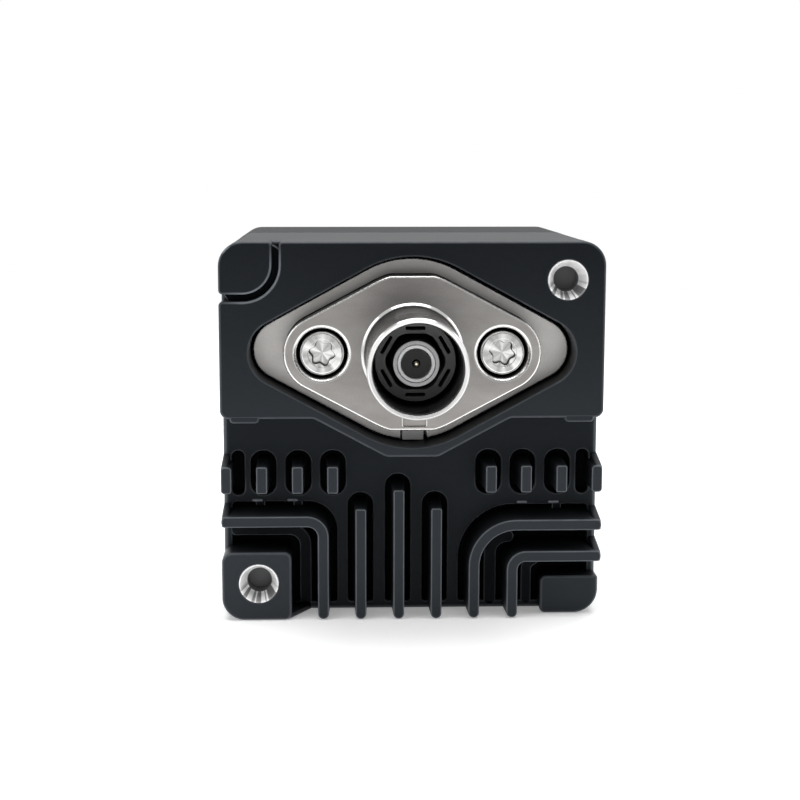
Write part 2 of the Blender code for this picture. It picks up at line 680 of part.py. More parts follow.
def make_flange_gasket():
    """Gasket behind the flange, with a tab that stands up in the notch of the rim."""
    gasket = prism("flange_gasket", diamond(RIM_R - 0.2, RIM_TIP_X, RIM_TIP_R - 0.2),
                   FLANGE_BACK_Y + THIN_GAP, POCKET_Y - THIN_GAP)
    cutters = [hole("gasket_port", 0, PORT_Z, 6.0, FLANGE_BACK_Y - 1, POCKET_Y + 1, 28)]
    for side in (-1, 1):
        x = side * SCREW_X
        cutters.append(hole("gasket_screw_way", x, PORT_Z, 1.6, FLANGE_BACK_Y - 1, POCKET_Y + 1, 14))
    boolean(gasket, "DIFFERENCE", cutters)
    tab_top = PORT_Z - PLATEAU_HALF_HEIGHT - 0.5
    tab = rounded_box(NOTCH_X[0] + THIN_GAP, NOTCH_X[1] - THIN_GAP, PORT_Z - RIM_R + 0.25, tab_top, 0.1)
    boolean(gasket, "UNION", prism("gasket_tab", tab, GASKET_TAB_Y, FLANGE_BACK_Y + 0.3))
    return paint(gasket, (0.09, 0.09, 0.09), 0.7)


def make_flange_screws():
    head = (FACE_Y + 0.55, FACE_Y + 1.7)
    for side, x in (("left", -SCREW_X), ("right", SCREW_X)):
        cap_screw(f"flange_screw_{side}", x, PORT_Z, 2.5, head, 1.15, CAVITY_Y - 0.9, 1.36, 24)


def make_barrel():
    ring_y = FACE_Y - THIN_GAP
    profile = [(BARREL_R - 0.15, BARREL_END_Y), (BARREL_R, BARREL_END_Y + 0.2), (BARREL_R, ring_y - 0.3),
               (BARREL_RING_R, ring_y - 0.3), (BARREL_RING_R, ring_y), (BARREL_R, ring_y),
               (BARREL_R, FLANGE_BACK_Y - GAP), (3.1, FLANGE_BACK_Y - GAP), (3.1, FLANGE_BACK_Y - 1.9),
               (BARREL_BORE_R, FLANGE_BACK_Y - 1.9), (BARREL_BORE_R, BARREL_END_Y + 0.2),
               (BARREL_BORE_R + 0.15, BARREL_END_Y)]
    return paint_steel(turned("connector_barrel", profile, 0, PORT_Z, 32))


def hexagon(apothem, radius):
    corner = apothem / math.cos(math.radians(30))
    points = [(corner * math.cos(math.radians(a)), corner * math.sin(math.radians(a)) + PORT_Z, radius)
              for a in range(0, 360, 60)]
    return rounded(points)


def make_coding_sleeve():
    """Black keyed sleeve round the coax contact, with a six-sided mouth and six spring slots."""
    back = FLANGE_BACK_Y - 2.2
    sleeve = hole("coding_sleeve", 0, PORT_Z, SLEEVE_R, SLEEVE_Y, back, 36)
    cutters = [prism("sleeve_mouth", hexagon(3.05, 1.6), SLEEVE_Y - 1, back + 1)]
    slot = [(-1.05, 3.48), (1.05, 3.48), (1.05, 3.92), (-1.05, 3.92)]
    for number in range(6):
        angle = math.radians(60 * number)
        turn = [(x * math.cos(angle) - z * math.sin(angle),
                 x * math.sin(angle) + z * math.cos(angle) + PORT_Z) for x, z in slot]
        cutters.append(prism("spring_slot", turn, SLEEVE_Y - 1, SLEEVE_Y + 3))
    boolean(sleeve, "DIFFERENCE", cutters)
    return paint_black_plastic(sleeve)


def tube(name, outer, inner, near_y, far_y, steps=20):
    return turned(name, [(outer, near_y), (outer, far_y), (inner, far_y), (inner, near_y)], 0, PORT_Z, steps)


def make_coax():
    tail_y = CAVITY_Y - 0.8
    paint_steel(tube("coax_shell", 2.58, 2.18, COAX_Y, tail_y))
    paint(tube("coax_insulator", 2.1, 1.66, COAX_Y, tail_y), (0.8, 0.79, 0.76), 0.4)
    core = tube("coax_dielectric", 1.6, 0.42, COAX_Y + 0.35, tail_y, 20)
    paint_black_plastic(core)
    pin = [(0, COAX_Y - 0.1), (0.18, COAX_Y - 0.1), (0.3, COAX_Y + 0.15), (0.3, tail_y), (0, tail_y)]
    paint(turned("coax_pin", pin, 0, PORT_Z, 12), (0.75, 0.6, 0.3), 0.3, 1.0)


# ---- inside --------------------------------------------------------------------------------

def block(name, x0, x1, z0, z1, near_y, far_y, radius=0.3):
    return prism(name, rounded_box(x0, x1, z0, z1, radius), near_y, far_y)


def make_board_socket():
    near, far = CAVITY_Y + GAP, MAIN_BOARD_Y[0] - THIN_GAP
    socket = block("board_coax_socket", -3.3, 3.3, PORT_Z - 3.3, PORT_Z + 3.3, near, far)
    boolean(socket, "UNION", hole("socket_nose", 0, PORT_Z, 2.5, CAVITY_Y - 0.5, near + 1, 16))
    return paint(socket, (0.6, 0.58, 0.55), 0.35, 1.0)


def make_main_board():
    board = prism("main_board", cavity_outline(CORNER_POST + GAP, 0.4), *MAIN_BOARD_Y)
    half = PEDESTAL_HALF + 0.6
    cutters = [block("pedestal_way", -half, half, PEDESTAL_Z - half, PEDESTAL_Z + half,
                     MAIN_BOARD_Y[0] - 1, MAIN_BOARD_Y[1] + 1, 1.0)]
    for x, z in BOARD_POSTS:
        cutters.append(hole("board_hole", x, z, 1.1, MAIN_BOARD_Y[0] - 1, MAIN_BOARD_Y[1] + 1, 12))
    boolean(board, "DIFFERENCE", cutters)
    return paint_board(board)


def make_board_parts():
    front = MAIN_BOARD_Y[1] + THIN_GAP
    paint_black_plastic(block("serializer_chip", -13.8, -7.8, 28.5, 34.5, front, front + 0.9))
    paint(block("power_inductor", 9.0, 13.0, 28.5, 32.5, front, front + 2.0, 0.6), (0.12, 0.12, 0.13), 0.5)
    paint_black_plastic(block("board_link_header", -7, 7, 35.5, 38.5, front, 1.4))
    socket = block("board_link_socket", -7, 7, 35.5, 38.5, 1.7, SENSOR_BOARD_Y[0] - THIN_GAP)
    paint(socket, (0.7, 0.67, 0.6), 0.5)


def make_cooler():
    """Cooler stack from the housing's pedestal to the back of the sensor board."""
    centre = PEDESTAL_Z
    pad = block("hot_thermal_pad", -6.3, 6.3, centre - 6.3, centre + 6.3, PEDESTAL_Y + 0.15, -0.35)
    paint(pad, (0.4, 0.42, 0.45), 0.8)
    peltier = block("peltier_module", -6, 6, centre - 6, centre + 6, -0.2, 0.5)
    pellets = block("peltier_pellets", -5.2, 5.2, centre - 5.2, centre + 5.2, 0.3, 2.4)
    cold_plate = block("peltier_cold_plate", -6, 6, centre - 6, centre + 6, 2.2, 2.9)
    boolean(peltier, "UNION", [pellets, cold_plate])
    paint(peltier, (0.85, 0.85, 0.83), 0.5)
    finger = block("cold_finger", -6, 6, centre - 6, centre + 8, 3.1, 5.9, 0.8)
    paint(finger, (0.7, 0.7, 0.7), 0.35, 1.0)


def make_sensor_stack():
    board = prism("sensor_board", cavity_outline(CORNER_POST + 0.6, 0.8), *SENSOR_BOARD_Y)
    holes = [hole("sensor_board_hole", x, z, 1.0, SENSOR_BOARD_Y[0] - 1, SENSOR_BOARD_Y[1] + 1, 12)
             for x, z in SENSOR_POSTS]
    boolean(board, "DIFFERENCE", holes)
    paint_board(board)
    paint(block("image_sensor", -7.5, 7.5, CENTRE_Z - 6, CENTRE_Z + 6, 7.45, 9.1), (0.16, 0.12, 0.16), 0.35)
    cover = block("sensor_glass", -6.8, 6.8, CENTRE_Z - 5.3, CENTRE_Z + 5.3, 9.25, 9.75, 0.2)
    paint(cover, (0.5, 0.6, 0.62), 0.05, 0, 0.4)


def make_window():
    def ring(name, outer, inner, near_y, far_y):
        profile = [(outer, near_y), (outer, far_y), (inner, far_y), (inner, near_y)]
        return turned(name, profile, 0, CENTRE_Z, 24)

    seat = FRONT_WALL_Y + 1.5
    window = hole("optical_window", 0, CENTRE_Z, WINDOW_SEAT_R - 0.3, 12.0, 13.0, 36)
    paint(window, (0.55, 0.65, 0.66), 0.03, 0, 0.3)
    paint_rubber(ring("window_seal", WINDOW_SEAT_R - 0.4, 9.7, 13.08, seat - 0.08))
    plate = block("window_retainer", -14.5, 14.5, CENTRE_Z - 12.2, CENTRE_Z + 12.2, 10.9, 11.85, 2.0)
    cutters = [hole("retainer_opening", 0, CENTRE_Z, WINDOW_OPENING_R, 9, 13, 36)]
    for side in (-1, 1):
        cutters.append(hole("retainer_way", side * RETAINER_SCREW_X, CENTRE_Z, 0.9, 9, 13, 10))
    boolean(plate, "DIFFERENCE", cutters)
    paint(plate, (0.05, 0.05, 0.055), 0.4, 0.8)


# ---- nosepiece and cap ---------------------------------------------------------------------

def make_nosepiece():
    """Screw-in barrel adapter; it turns about the optical axis."""
    shoulder, groove_r = FRONT_END_Y + GAP, (13.3, 15.1)
    front, rim_r, end = shoulder + 3.0, NOSE_FLANGE_R - 0.3, NOSE_END_Y
    thread = [(11.3, 15.1), (12.3, 15.1), (12.55, 15.4), (12.55, shoulder)]
    groove = [(groove_r[0], shoulder), (groove_r[0], shoulder + 0.9), (groove_r[1], shoulder + 0.9),
              (groove_r[1], shoulder)]
    flange = [(rim_r, shoulder), (NOSE_FLANGE_R, shoulder + 0.3), (NOSE_FLANGE_R, front - 0.3),
              (rim_r, front), (NOSE_R, front)]
    undercut = [(NOSE_R, 25.0), (UNDERCUT_R, 25.6), (UNDERCUT_R, 30.4), (NOSE_R, 31.0)]
    tip = [(NOSE_R, end - 0.5), (NOSE_R - 0.5, end), (FILTER_BORE_R, end), (FILTER_BORE_R, end - 4),
           (NOSE_BORE_R, end - 4.2), (NOSE_BORE_R, front + 0.5), (11.3, front - 1.0)]
    nose = turned("nosepiece", thread + groove + flange + undercut + tip, 0, CENTRE_Z, 32)
    paint(nose, (0.03, 0.03, 0.033), 0.35, 0.6)
    near, far = shoulder - 0.15, shoulder + 0.75
    seal = turned("nosepiece_seal", [(13.5, near), (14.9, near), (14.9, far), (13.5, far)], 0, CENTRE_Z, 24)
    paint_rubber(seal)


def make_dust_cap():
    """Push-on cap over the end of the nosepiece; it pulls off along the optical axis."""
    roof, end = NOSE_END_Y + 0.4, CAP_END_Y
    profile = [(0, roof), (CAP_BORE_R, roof), (CAP_BORE_R, CAP_MOUTH_Y), (CAP_R, CAP_MOUTH_Y),
               (CAP_R, end - 0.8), (CAP_R - 0.8, end), (0, end)]
    return paint(turned("dust_cap", profile, 0, CENTRE_Z, 32), (0.03, 0.03, 0.032), 0.55)


clear_scene()
make_rear_housing()
make_front_housing()
make_housing_gasket()
make_screws()
make_inserts()
make_connector_flange()
make_flange_gasket()
make_flange_screws()
make_barrel()
make_coding_sleeve()
make_coax()
make_board_socket()
make_main_board()
make_board_parts()
make_cooler()
make_sensor_stack()
make_window()
make_nosepiece()
make_dust_cap()
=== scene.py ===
import math

import bpy
import numpy as np
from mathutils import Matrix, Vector
from mathutils.geometry import delaunay_2d_cdt


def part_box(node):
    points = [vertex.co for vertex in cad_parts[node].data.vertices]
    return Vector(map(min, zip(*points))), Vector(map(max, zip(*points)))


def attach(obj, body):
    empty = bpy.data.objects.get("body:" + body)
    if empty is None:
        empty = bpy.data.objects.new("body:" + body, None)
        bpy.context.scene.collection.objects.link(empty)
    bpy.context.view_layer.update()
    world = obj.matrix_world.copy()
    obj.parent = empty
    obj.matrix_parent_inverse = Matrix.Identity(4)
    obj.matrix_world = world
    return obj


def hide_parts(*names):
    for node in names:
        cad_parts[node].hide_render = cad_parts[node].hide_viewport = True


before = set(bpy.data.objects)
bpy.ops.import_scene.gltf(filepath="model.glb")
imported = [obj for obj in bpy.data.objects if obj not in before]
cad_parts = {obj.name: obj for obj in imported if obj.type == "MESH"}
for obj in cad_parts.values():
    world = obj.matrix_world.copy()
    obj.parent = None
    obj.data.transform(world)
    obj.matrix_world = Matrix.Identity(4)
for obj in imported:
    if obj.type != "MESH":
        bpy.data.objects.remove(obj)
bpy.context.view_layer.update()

mm = 0.001


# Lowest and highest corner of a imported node, in millimetres.
def boxMm(node):
    return [[value * 1000 for value in corner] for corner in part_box(node)]


rearLow, rearHigh = boxMm("rear_housing")
frontLow, frontHigh = boxMm("front_housing")
portLow, portHigh = boxMm("connector_barrel")
faceY = rearLow[1]  # back face
splitY = rearHigh[1]  # where the two housings meet
half = rearHigh[0]  # half of the body's width
tall = rearHigh[2]
recess = 3.5
midY = faceY + recess  # recessed surface of the finned half
slotY = faceY + 5.5  # slot floors
portZ = (portLow[2] + portHigh[2]) / 2
axisZ = tall / 2  # optical axis height


def unit(vectors):
    return vectors / (np.linalg.norm(vectors, axis=-1, keepdims=True) + 1e-12)


# Loops lie in the X-Z plane and run counter-clockwise as the back is looked at. This arc rounds one
# corner of a loop: its centre lies on the bisector, a radius from both sides.
def cornerArc(before, corner, after, radius, stepDeg=7.5):
    before, corner, after = (np.array(p[:2], float) for p in (before, corner, after))
    u = (before - corner) / np.linalg.norm(before - corner)
    v = (after - corner) / np.linalg.norm(after - corner)
    halfAngle = math.acos(float(np.clip(u @ v, -1, 1))) / 2
    middle = (u + v) / np.linalg.norm(u + v)
    centre = corner + middle * radius / math.sin(halfAngle)
    reach = radius / math.tan(halfAngle)
    start = math.atan2(*(corner + u * reach - centre)[::-1])
    end = math.atan2(*(corner + v * reach - centre)[::-1])
    sweep = (end - start + math.pi) % (2 * math.pi) - math.pi
    count = max(4, math.ceil(abs(math.degrees(sweep)) / stepDeg))
    angle = start + sweep * np.linspace(0, 1, count + 1)
    return centre + radius * np.stack([np.cos(angle), np.sin(angle)], 1)


# Corners are (x, z, radius). With sharp first and last corners, the result also serves as an open path.
def roundedLoop(corners, stepDeg=7.5):
    parts = []
    for i, corner in enumerate(corners):
        after = corners[(i + 1) % len(corners)]
        if corner[2] > 0:
            parts.append(cornerArc(corners[i - 1], corner, after, corner[2], stepDeg))
        else:
            parts.append(np.array([corner[:2]], float))
    return np.concatenate(parts)


def boxLoop(x0, x1, z0, z1, radius, stepDeg=7.5):
    return roundedLoop([(x0, z0, radius), (x1, z0, radius), (x1, z1, radius), (x0, z1, radius)], stepDeg)


# Circle; a wave gives it six lobes: radius + wave * cos(6 * angle).
def circleLoop(x, z, radius, count=96, wave=0.0):
    angle = np.linspace(0, 2 * math.pi, count, endpoint=False)
    radius = radius + wave * np.cos(6 * (angle + 0.2))
    return np.stack([x + radius * np.cos(angle), z + radius * np.sin(angle)], 1)


# Strip of even width along a path; each end is a half ellipse that reaches bulge * halfWidth past it.
def stripLoop(path, halfWidth, startBulge, endBulge):
    tangent = np.gradient(path, axis=0)
    tangent /= np.linalg.norm(tangent, axis=1)[:, None]
    side = np.stack([-tangent[:, 1], tangent[:, 0]], 1)
    angle = np.linspace(0, math.pi, 15)[1:-1, None]
    endCap = path[-1] + halfWidth * (np.cos(angle) * side[-1] + np.sin(angle) * tangent[-1] * endBulge)
    startCap = path[0] - halfWidth * (np.cos(angle) * side[0] + np.sin(angle) * tangent[0] * startBulge)
    loop = np.concatenate([path + side * halfWidth, endCap, (path - side * halfWidth)[::-1], startCap])
    return loop if signedArea(loop) > 0 else loop[::-1]


def signedArea(loop):
    x, z = loop.T
    return 0.5 * float(np.sum(x * np.roll(z, -1) - np.roll(x, -1) * z))


# Convex outline round a middle circle and two tip circles, flattened above and below.
def diamondLoop(middleR, tipX, tipR, flat=99.0):
    ring = circleLoop(0, 0, 1, 180)
    points = np.concatenate([ring * middleR, ring * tipR + [tipX, 0], ring * tipR - [tipX, 0]])
    points[:, 1] = np.clip(points[:, 1], -flat, flat)
    order = np.lexsort((points[:, 1], points[:, 0]))
    chains = []
    for sequence in (points[order], points[order][::-1]):
        chain = []
        for p in sequence:
            while len(chain) > 1 and np.cross(chain[-1] - chain[-2], p - chain[-2]) <= 1e-9:
                chain.pop()
            chain.append(p)
        chains += chain[:-1]
    return np.array(chains) + [0, portZ]


def loopNormals(loop):
    tangent = unit(unit(np.roll(loop, -1, axis=0) - loop) + unit(loop - np.roll(loop, 1, axis=0)))
    return np.stack([tangent[:, 1], -tangent[:, 0]], 1)


def insideLoop(points, loop):
    x, z = points[:, :1], points[:, 1:]
    x0, z0 = loop.T
    x1, z1 = np.roll(loop, -1, axis=0).T
    crosses = ((z0 > z) != (z1 > z)) & (x < (x1 - x0) * (z - z0) / (z1 - z0 + 1e-15) + x0)
    return crosses.sum(1) % 2 == 1


class Heap:
    # Closed solids gathered into one mesh: vertices, normals, an edge value and faces. The edge value is
    # above 0 on edges, partly rubbed and partly painted highlight, and below 0 for painted shade.
    def __init__(self):
        self.points, self.normals, self.edges, self.faces, self.count = [], [], [], [], 0

    def add(self, points, normals, edge):
        first = self.count
        self.points.append(points.reshape(-1, 3))
        self.normals.append(normals.reshape(-1, 3))
        self.edges.append(np.broadcast_to(edge, points.shape[:-1]).reshape(-1))
        self.count += self.points[-1].shape[0]
        return first

    # Rings of points joined by quads; closed rings wrap round.
    def rings(self, points, normals, edge, flip):
        m, n = points.shape[:2]
        first = self.add(points, normals, edge)
        index = first + np.arange(m * n).reshape(m, n)
        a, b = index[:-1], index[1:]
        c, d = np.roll(b, -1, axis=1), np.roll(a, -1, axis=1)
        quads = np.stack([a, b, c, d], -1).reshape(-1, 4)
        self.faces.append(quads[:, ::-1] if flip else quads)
        return index

    # Flat cap at height y between ready rings, each a loop and its vertices' numbers. The first is the
    # outside, the others are holes. Where two loops touch, the crossing becomes a vertex of its own.
    def cap(self, ends, y, flip):
        loops = [loop for loop, numbers in ends]
        flat = np.concatenate(loops)
        ids = np.concatenate([numbers for loop, numbers in ends])
        edges, start = [], 0
        for loop in loops:
            n = len(loop)
            edges += [(start + i, start + (i + 1) % n) for i in range(n)]
            start += n
        made = delaunay_2d_cdt([Vector(p) for p in flat.tolist()], edges, [], 0, 1e-7)
        places = np.array([tuple(v) for v in made[0]])
        source = np.array([own[0] if own else -1 for own in made[3]])
        fresh = source < 0
        if fresh.any():
            extra = np.insert(places[fresh], 1, y, axis=1)
            first = self.add(extra, np.broadcast_to([0.0, 1.0 if flip else -1.0, 0.0], extra.shape), 0.0)
            ids = np.concatenate([ids, first + np.arange(len(extra))])
            source[fresh] = len(flat) + np.arange(len(extra))
        triangles = np.array(made[2])
        middle = places[triangles].mean(1)
        keep = insideLoop(middle, loops[0])
        for hole in loops[1:]:
            keep &= ~insideLoop(middle, hole)
        triangles = ids[source[triangles[keep]]]
        self.faces.append(triangles[:, ::-1] if flip else triangles)

    def build(self, name, material):
        points = np.concatenate(self.points) * mm
        faces = [face for group in self.faces for face in group.tolist()]
        mesh = bpy.data.meshes.new(name)
        mesh.from_pydata(points.tolist(), [], faces)
        mesh.shade_smooth()
        value = mesh.attributes.new("edgeWearAndLight", "FLOAT", "POINT")
        value.data.foreach_set("value", np.concatenate(self.edges).astype(np.float32))
        mesh.normals_split_custom_set_from_vertices(unit(np.concatenate(self.normals)).tolist())
        piece = bpy.data.objects.new(name, mesh)
        bpy.context.scene.collection.objects.link(piece)
        mesh.materials.append(material)
        return piece

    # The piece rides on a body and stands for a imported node.
    def place(self, name, finish, node, slot, body="camera_body"):
        piece = self.build(name, finishes.get(finish, finish))
        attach(piece, body)
        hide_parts(node)


# Profile of a wall between two flat faces: quarter circles of radius r0 and r1 where it meets them.
# Each row is outset, y, radial normal, axial normal, edge value. A pocket's wall faces its middle, and
# the last argument is painted shade: how dark it gets towards its floor, at the wall and on the floor
# itself.
def wallSteps(near, far, r0, r1, draft=0.0, pocket=False, paintedShade=(0.0, 0.0)):
    sign = 1.0 if far > near else -1.0
    side = -1.0 if pocket else 1.0
    turn = np.linspace(0, math.pi / 2, 6)
    r0, r1 = max(r0, 0.015), max(r1, 0.003)
    top = np.stack([-side * r0 * (1 - np.sin(turn)), near + sign * r0 * (1 - np.cos(turn)),
                    side * np.sin(turn), -sign * np.cos(turn), np.sin(2 * turn) ** 0.5], 1)
    back = turn[::-1]
    low = np.stack([-r1 * (1 - np.sin(back)), far - sign * r1 * (1 - np.cos(back)), side * np.sin(back),
                    (-sign if pocket else sign) * np.cos(back),
                    -paintedShade[0] - (paintedShade[1] - paintedShade[0]) * np.cos(back) ** 3], 1)
    steps = np.concatenate([top, low])
    steps[:, 0] += side * draft * np.abs(steps[:, 1] - near)
    return steps


# Carries a wall profile round a loop: point = loop + outset * outward normal.
def carry(loop, steps):
    outward, level = loopNormals(loop), np.zeros(len(loop))
    outset, y, radial, axial, wearAndLight = (column[:, None] for column in steps.T)
    flat = loop + outset[..., None] * outward
    points = np.stack([flat[..., 0], y + level, flat[..., 1]], -1)
    normals = np.stack([outward[:, 0] * radial, axial + level, outward[:, 1] * radial], -1)
    return points, normals, wearAndLight + level


# Closed plate between near and far with rounded edges; pockets are (loop, floor y, rim radius, floor
# radius, painted shade pair) and holes are (loop, rim radius, painted shade) that go right through.
# Tone is added to every edge value, painted shade below 0 and painted highlight above 0; shine scales
# the edge values above 0, partly rubbed and partly painted highlight, and the last argument darkens the
# outer wall towards far as painted shade.
def addSlab(heap, loop, near, far, edge=0.3, farEdge=0.0, draft=0.0, pockets=(), holes=(), tone=0.0,
            shine=1.0, paintedShade=0.0):
    flip = far < near
    nearEnds, farEnds = [], []

    def wall(outline, steps, turned):
        points, normals, wearAndLight = carry(outline, steps)
        index = heap.rings(points, normals, np.where(wearAndLight > 0, wearAndLight * shine, wearAndLight) + tone, turned)
        nearEnds.append((points[0][:, [0, 2]], index[0]))
        return points[-1][:, [0, 2]], index[-1]

    farEnds.append(wall(loop, wallSteps(near, far, edge, farEdge, draft, paintedShade=(paintedShade, paintedShade)), flip))
    for inner, rim, dark in holes:
        farEnds.append(wall(inner, wallSteps(near, far, rim, 0.0, 0.0, True, (dark, dark)), not flip))
    for inner, floorY, rim, floorR, dark in pockets:
        steps = wallSteps(near, floorY, rim, floorR, 0.0, True, dark)
        heap.cap([wall(inner, steps, not flip)], floorY, flip)
    heap.cap(nearEnds, near, flip)
    heap.cap(farEnds, far, not flip)


# Plate whose outline changes evenly from one loop to another with as many points.
def addTaper(heap, nearLoop, near, farLoop, far, edge):
    steps = wallSteps(near, far, edge, 0.0)
    share = ((steps[:, 1] - near) / (far - near))[:, None, None]
    nearPoints, normals, wearAndLight = carry(nearLoop, steps)
    points = nearPoints * (1 - share) + carry(farLoop, steps)[0] * share
    index = heap.rings(points, normals, wearAndLight, far < near)
    heap.cap([(points[0][:, [0, 2]], index[0])], near, far < near)
    heap.cap([(points[-1][:, [0, 2]], index[-1])], far, far > near)


# Rounds the corners of a profile and adds points between them.
def softened(corners, closed):
    parts, last = [], len(corners) - 1
    for i, corner in enumerate(corners):
        before, after = corners[i - 1], corners[(i + 1) % len(corners)]
        u, v = np.array(before[:2]) - corner[:2], np.array(after[:2]) - corner[:2]
        cosine = float(u @ v / np.linalg.norm(u) / np.linalg.norm(v))
        if corner[2] <= 0 or (not closed and i in (0, last)) or abs(cosine) > 0.999:
            parts.append(np.array([corner[:2]]))
            continue
        room = min(np.linalg.norm(u), np.linalg.norm(v)) * 0.45
        reach = 1 / math.tan(math.acos(cosine) / 2)
        parts.append(cornerArc(before, corner, after, min(corner[2], room / reach), 22))
    return np.concatenate(parts)


# Surface of revolution about a line along Y: x = cx + r(t, a) * cos a, z = cz + r(t, a) * sin a.
# The profile is (radius, y) points whose corners keep a small round. Ripple changes the radius, and
# paint gives new edge values from radius, y and the old ones. Edge values start lighter at the corners,
# partly rubbed and partly painted highlight; paint sets painted shade below 0 and painted highlight above 0.
def addTurned(heap, profile, cx, cz, count, soften, ripple=None, paint=None):
    closed = profile[0][0] > 1e-6
    loop = softened([(r, y, soften if r > 1e-6 else 0) for r, y in profile], closed)
    angle = np.linspace(0, 2 * math.pi, count, endpoint=False)
    radius = np.repeat(loop[:, :1], count, axis=1)
    if ripple is not None:
        radius = radius + ripple(loop[:, :1], loop[:, 1:2], angle[None])
    across = unit(np.roll(loop, -1, 0) - np.roll(loop, 1, 0) if closed else np.gradient(loop, axis=0))
    radialN, axialN = -across[:, 1:2], across[:, :1]
    points = np.stack([cx + radius * np.cos(angle), np.repeat(loop[:, 1:2], count, 1),
                       cz + radius * np.sin(angle)], -1)
    normals = np.stack([radialN * np.cos(angle), np.repeat(axialN, count, 1), radialN * np.sin(angle)], -1)
    bend = np.linalg.norm(np.roll(across, -1, 0) - np.roll(across, 1, 0), axis=1)
    wearAndLight = np.repeat(np.clip(bend * 1.3, 0, 1)[:, None], count, 1)
    if paint is not None:
        wearAndLight = paint(np.hypot(points[..., 0] - cx, points[..., 2] - cz), points[..., 1], wearAndLight)
    m = len(points)
    clockwise = signedArea(points[:, 0, :2]) < 0
    if closed:
        points, normals, wearAndLight = (np.concatenate([a, a[:1]]) for a in (points, normals, wearAndLight))
    if not clockwise:
        normals = -normals
    if closed:
        heap.rings(points, normals, wearAndLight, clockwise)
        return
    # poles: the first and last rings shrink to one point each
    index = heap.rings(points[1:-1], normals[1:-1], wearAndLight[1:-1], clockwise)
    for pole, ring, turn in ((0, index[0], not clockwise), (m - 1, index[-1], clockwise)):
        level = 1 if pole == 0 else m - 2
        first = heap.add(points[pole, :1], normals[level].mean(0, keepdims=True), wearAndLight[level, 0])
        after = np.roll(ring, -1)
        fan = np.stack([np.full(len(ring), first), ring, after], -1)
        heap.faces.append(fan if turn else fan[:, ::-1])


class Val:
    # One socket; each operator, from the loop below, adds a Math node.
    def __init__(self, finish, socket):
        self.finish, self.socket = finish, socket

    def math(self, operation, *others):
        return self.finish.node("ShaderNodeMath", {"operation": operation}, [self, *others])

    def clamp(self):
        return self.math("MAXIMUM", 0.0).math("MINIMUM", 1.0)

    # 0 below low, 1 above high, even in between
    def ramp(self, low, high):
        return ((self - low) / (high - low)).clamp()

    # even rise and fall between 0 and 1
    def wave(self, rate):
        return (self * rate).math("SINE") * 0.5 + 0.5


for sign, operation in (("add", "ADD"), ("sub", "SUBTRACT"), ("mul", "MULTIPLY"), ("truediv", "DIVIDE"),
                        ("pow", "POWER")):
    setattr(Val, f"__{sign}__", lambda self, other, kind=operation: self.math(kind, other))
    setattr(Val, f"__r{sign}__", lambda self, other, kind=operation: self.finish.node(
        "ShaderNodeMath", {"operation": kind}, [other, self]))


class Graph:
    # A node tree and the one way to add a node to it; the node comes back as one of its outputs.
    def __init__(self, tree):
        self.tree = tree

    def node(self, kind, settings, inputs, output=0):
        made = self.tree.nodes.new(kind)
        for key, value in settings.items():
            setattr(made, key, value)
        pairs = inputs.items() if isinstance(inputs, dict) else enumerate(inputs)
        for key, value in pairs:
            if isinstance(value, Val):
                self.tree.links.new(value.socket, made.inputs[key])
            else:
                made.inputs[key].default_value = value
        return Val(self, made.outputs[output])


class Finish(Graph):
    # One material with its Principled shader.
    def __init__(self, name, **fixed):
        self.material = bpy.data.materials.new(name)
        self.material.use_nodes = True
        super().__init__(self.material.node_tree)
        self.shader = self.tree.nodes["Principled BSDF"]
        for key, value in fixed.items():
            self.shader.inputs[key.replace("_", " ")].default_value = value
        self.objectSpace = self.node("ShaderNodeTexCoord", {}, [], "Object")

    def set(self, **links):
        for key, value in links.items():
            self.tree.links.new(value.socket, self.shader.inputs[key.replace("_", " ")])
        return self

    def axes(self, centre=(0, 0, 0)):
        moved = self.node("ShaderNodeVectorMath", {"operation": "SUBTRACT"}, [self.objectSpace, centre])
        split = self.node("ShaderNodeSeparateXYZ", {}, [moved])
        return [Val(self, socket) for socket in split.socket.node.outputs]

    def noise(self, scale, detail=3.0, stretch=(1, 1, 1), where=None):
        mapped = self.node("ShaderNodeMapping", {}, {"Vector": where or self.objectSpace, "Scale": stretch})
        return self.node("ShaderNodeTexNoise", {}, {"Vector": mapped, "Scale": scale, "Detail": detail,
                                                    "Roughness": 0.55})

    def cells(self, scale):
        return self.node("ShaderNodeTexVoronoi", {}, {"Vector": self.objectSpace, "Scale": scale})

    # 1 on edges, partly rubbed and partly painted highlight, and 1 deep in hollows as painted shade
    def wearAndLight(self):
        value = self.node("ShaderNodeAttribute", {"attribute_name": "edgeWearAndLight"}, [], "Fac")
        return value.clamp(), (0 - value).clamp()

    # mix of two colours; a single number is a grey
    def blend(self, share, low, high):
        low, high = (tone if isinstance(tone, Val) else (*np.broadcast_to(tone, 3).tolist(), 1)
                     for tone in (low, high))
        return self.node("ShaderNodeMix", {"data_type": "RGBA"}, {0: share, 6: low, 7: high}, 2)

    def bump(self, height, distance, strength):
        return self.set(Normal=self.node("ShaderNodeBump", {}, {"Height": height, "Distance": distance,
                                                                "Strength": strength}))

    # angle about a line along Y through the centre, as a point on a unit circle
    def spoke(self, centre):
        x, _, z = self.axes(centre)
        radius = (x * x + z * z) ** 0.5 + 1e-6
        return self.node("ShaderNodeCombineXYZ", {}, [x / radius, z / radius, 0.0]), radius
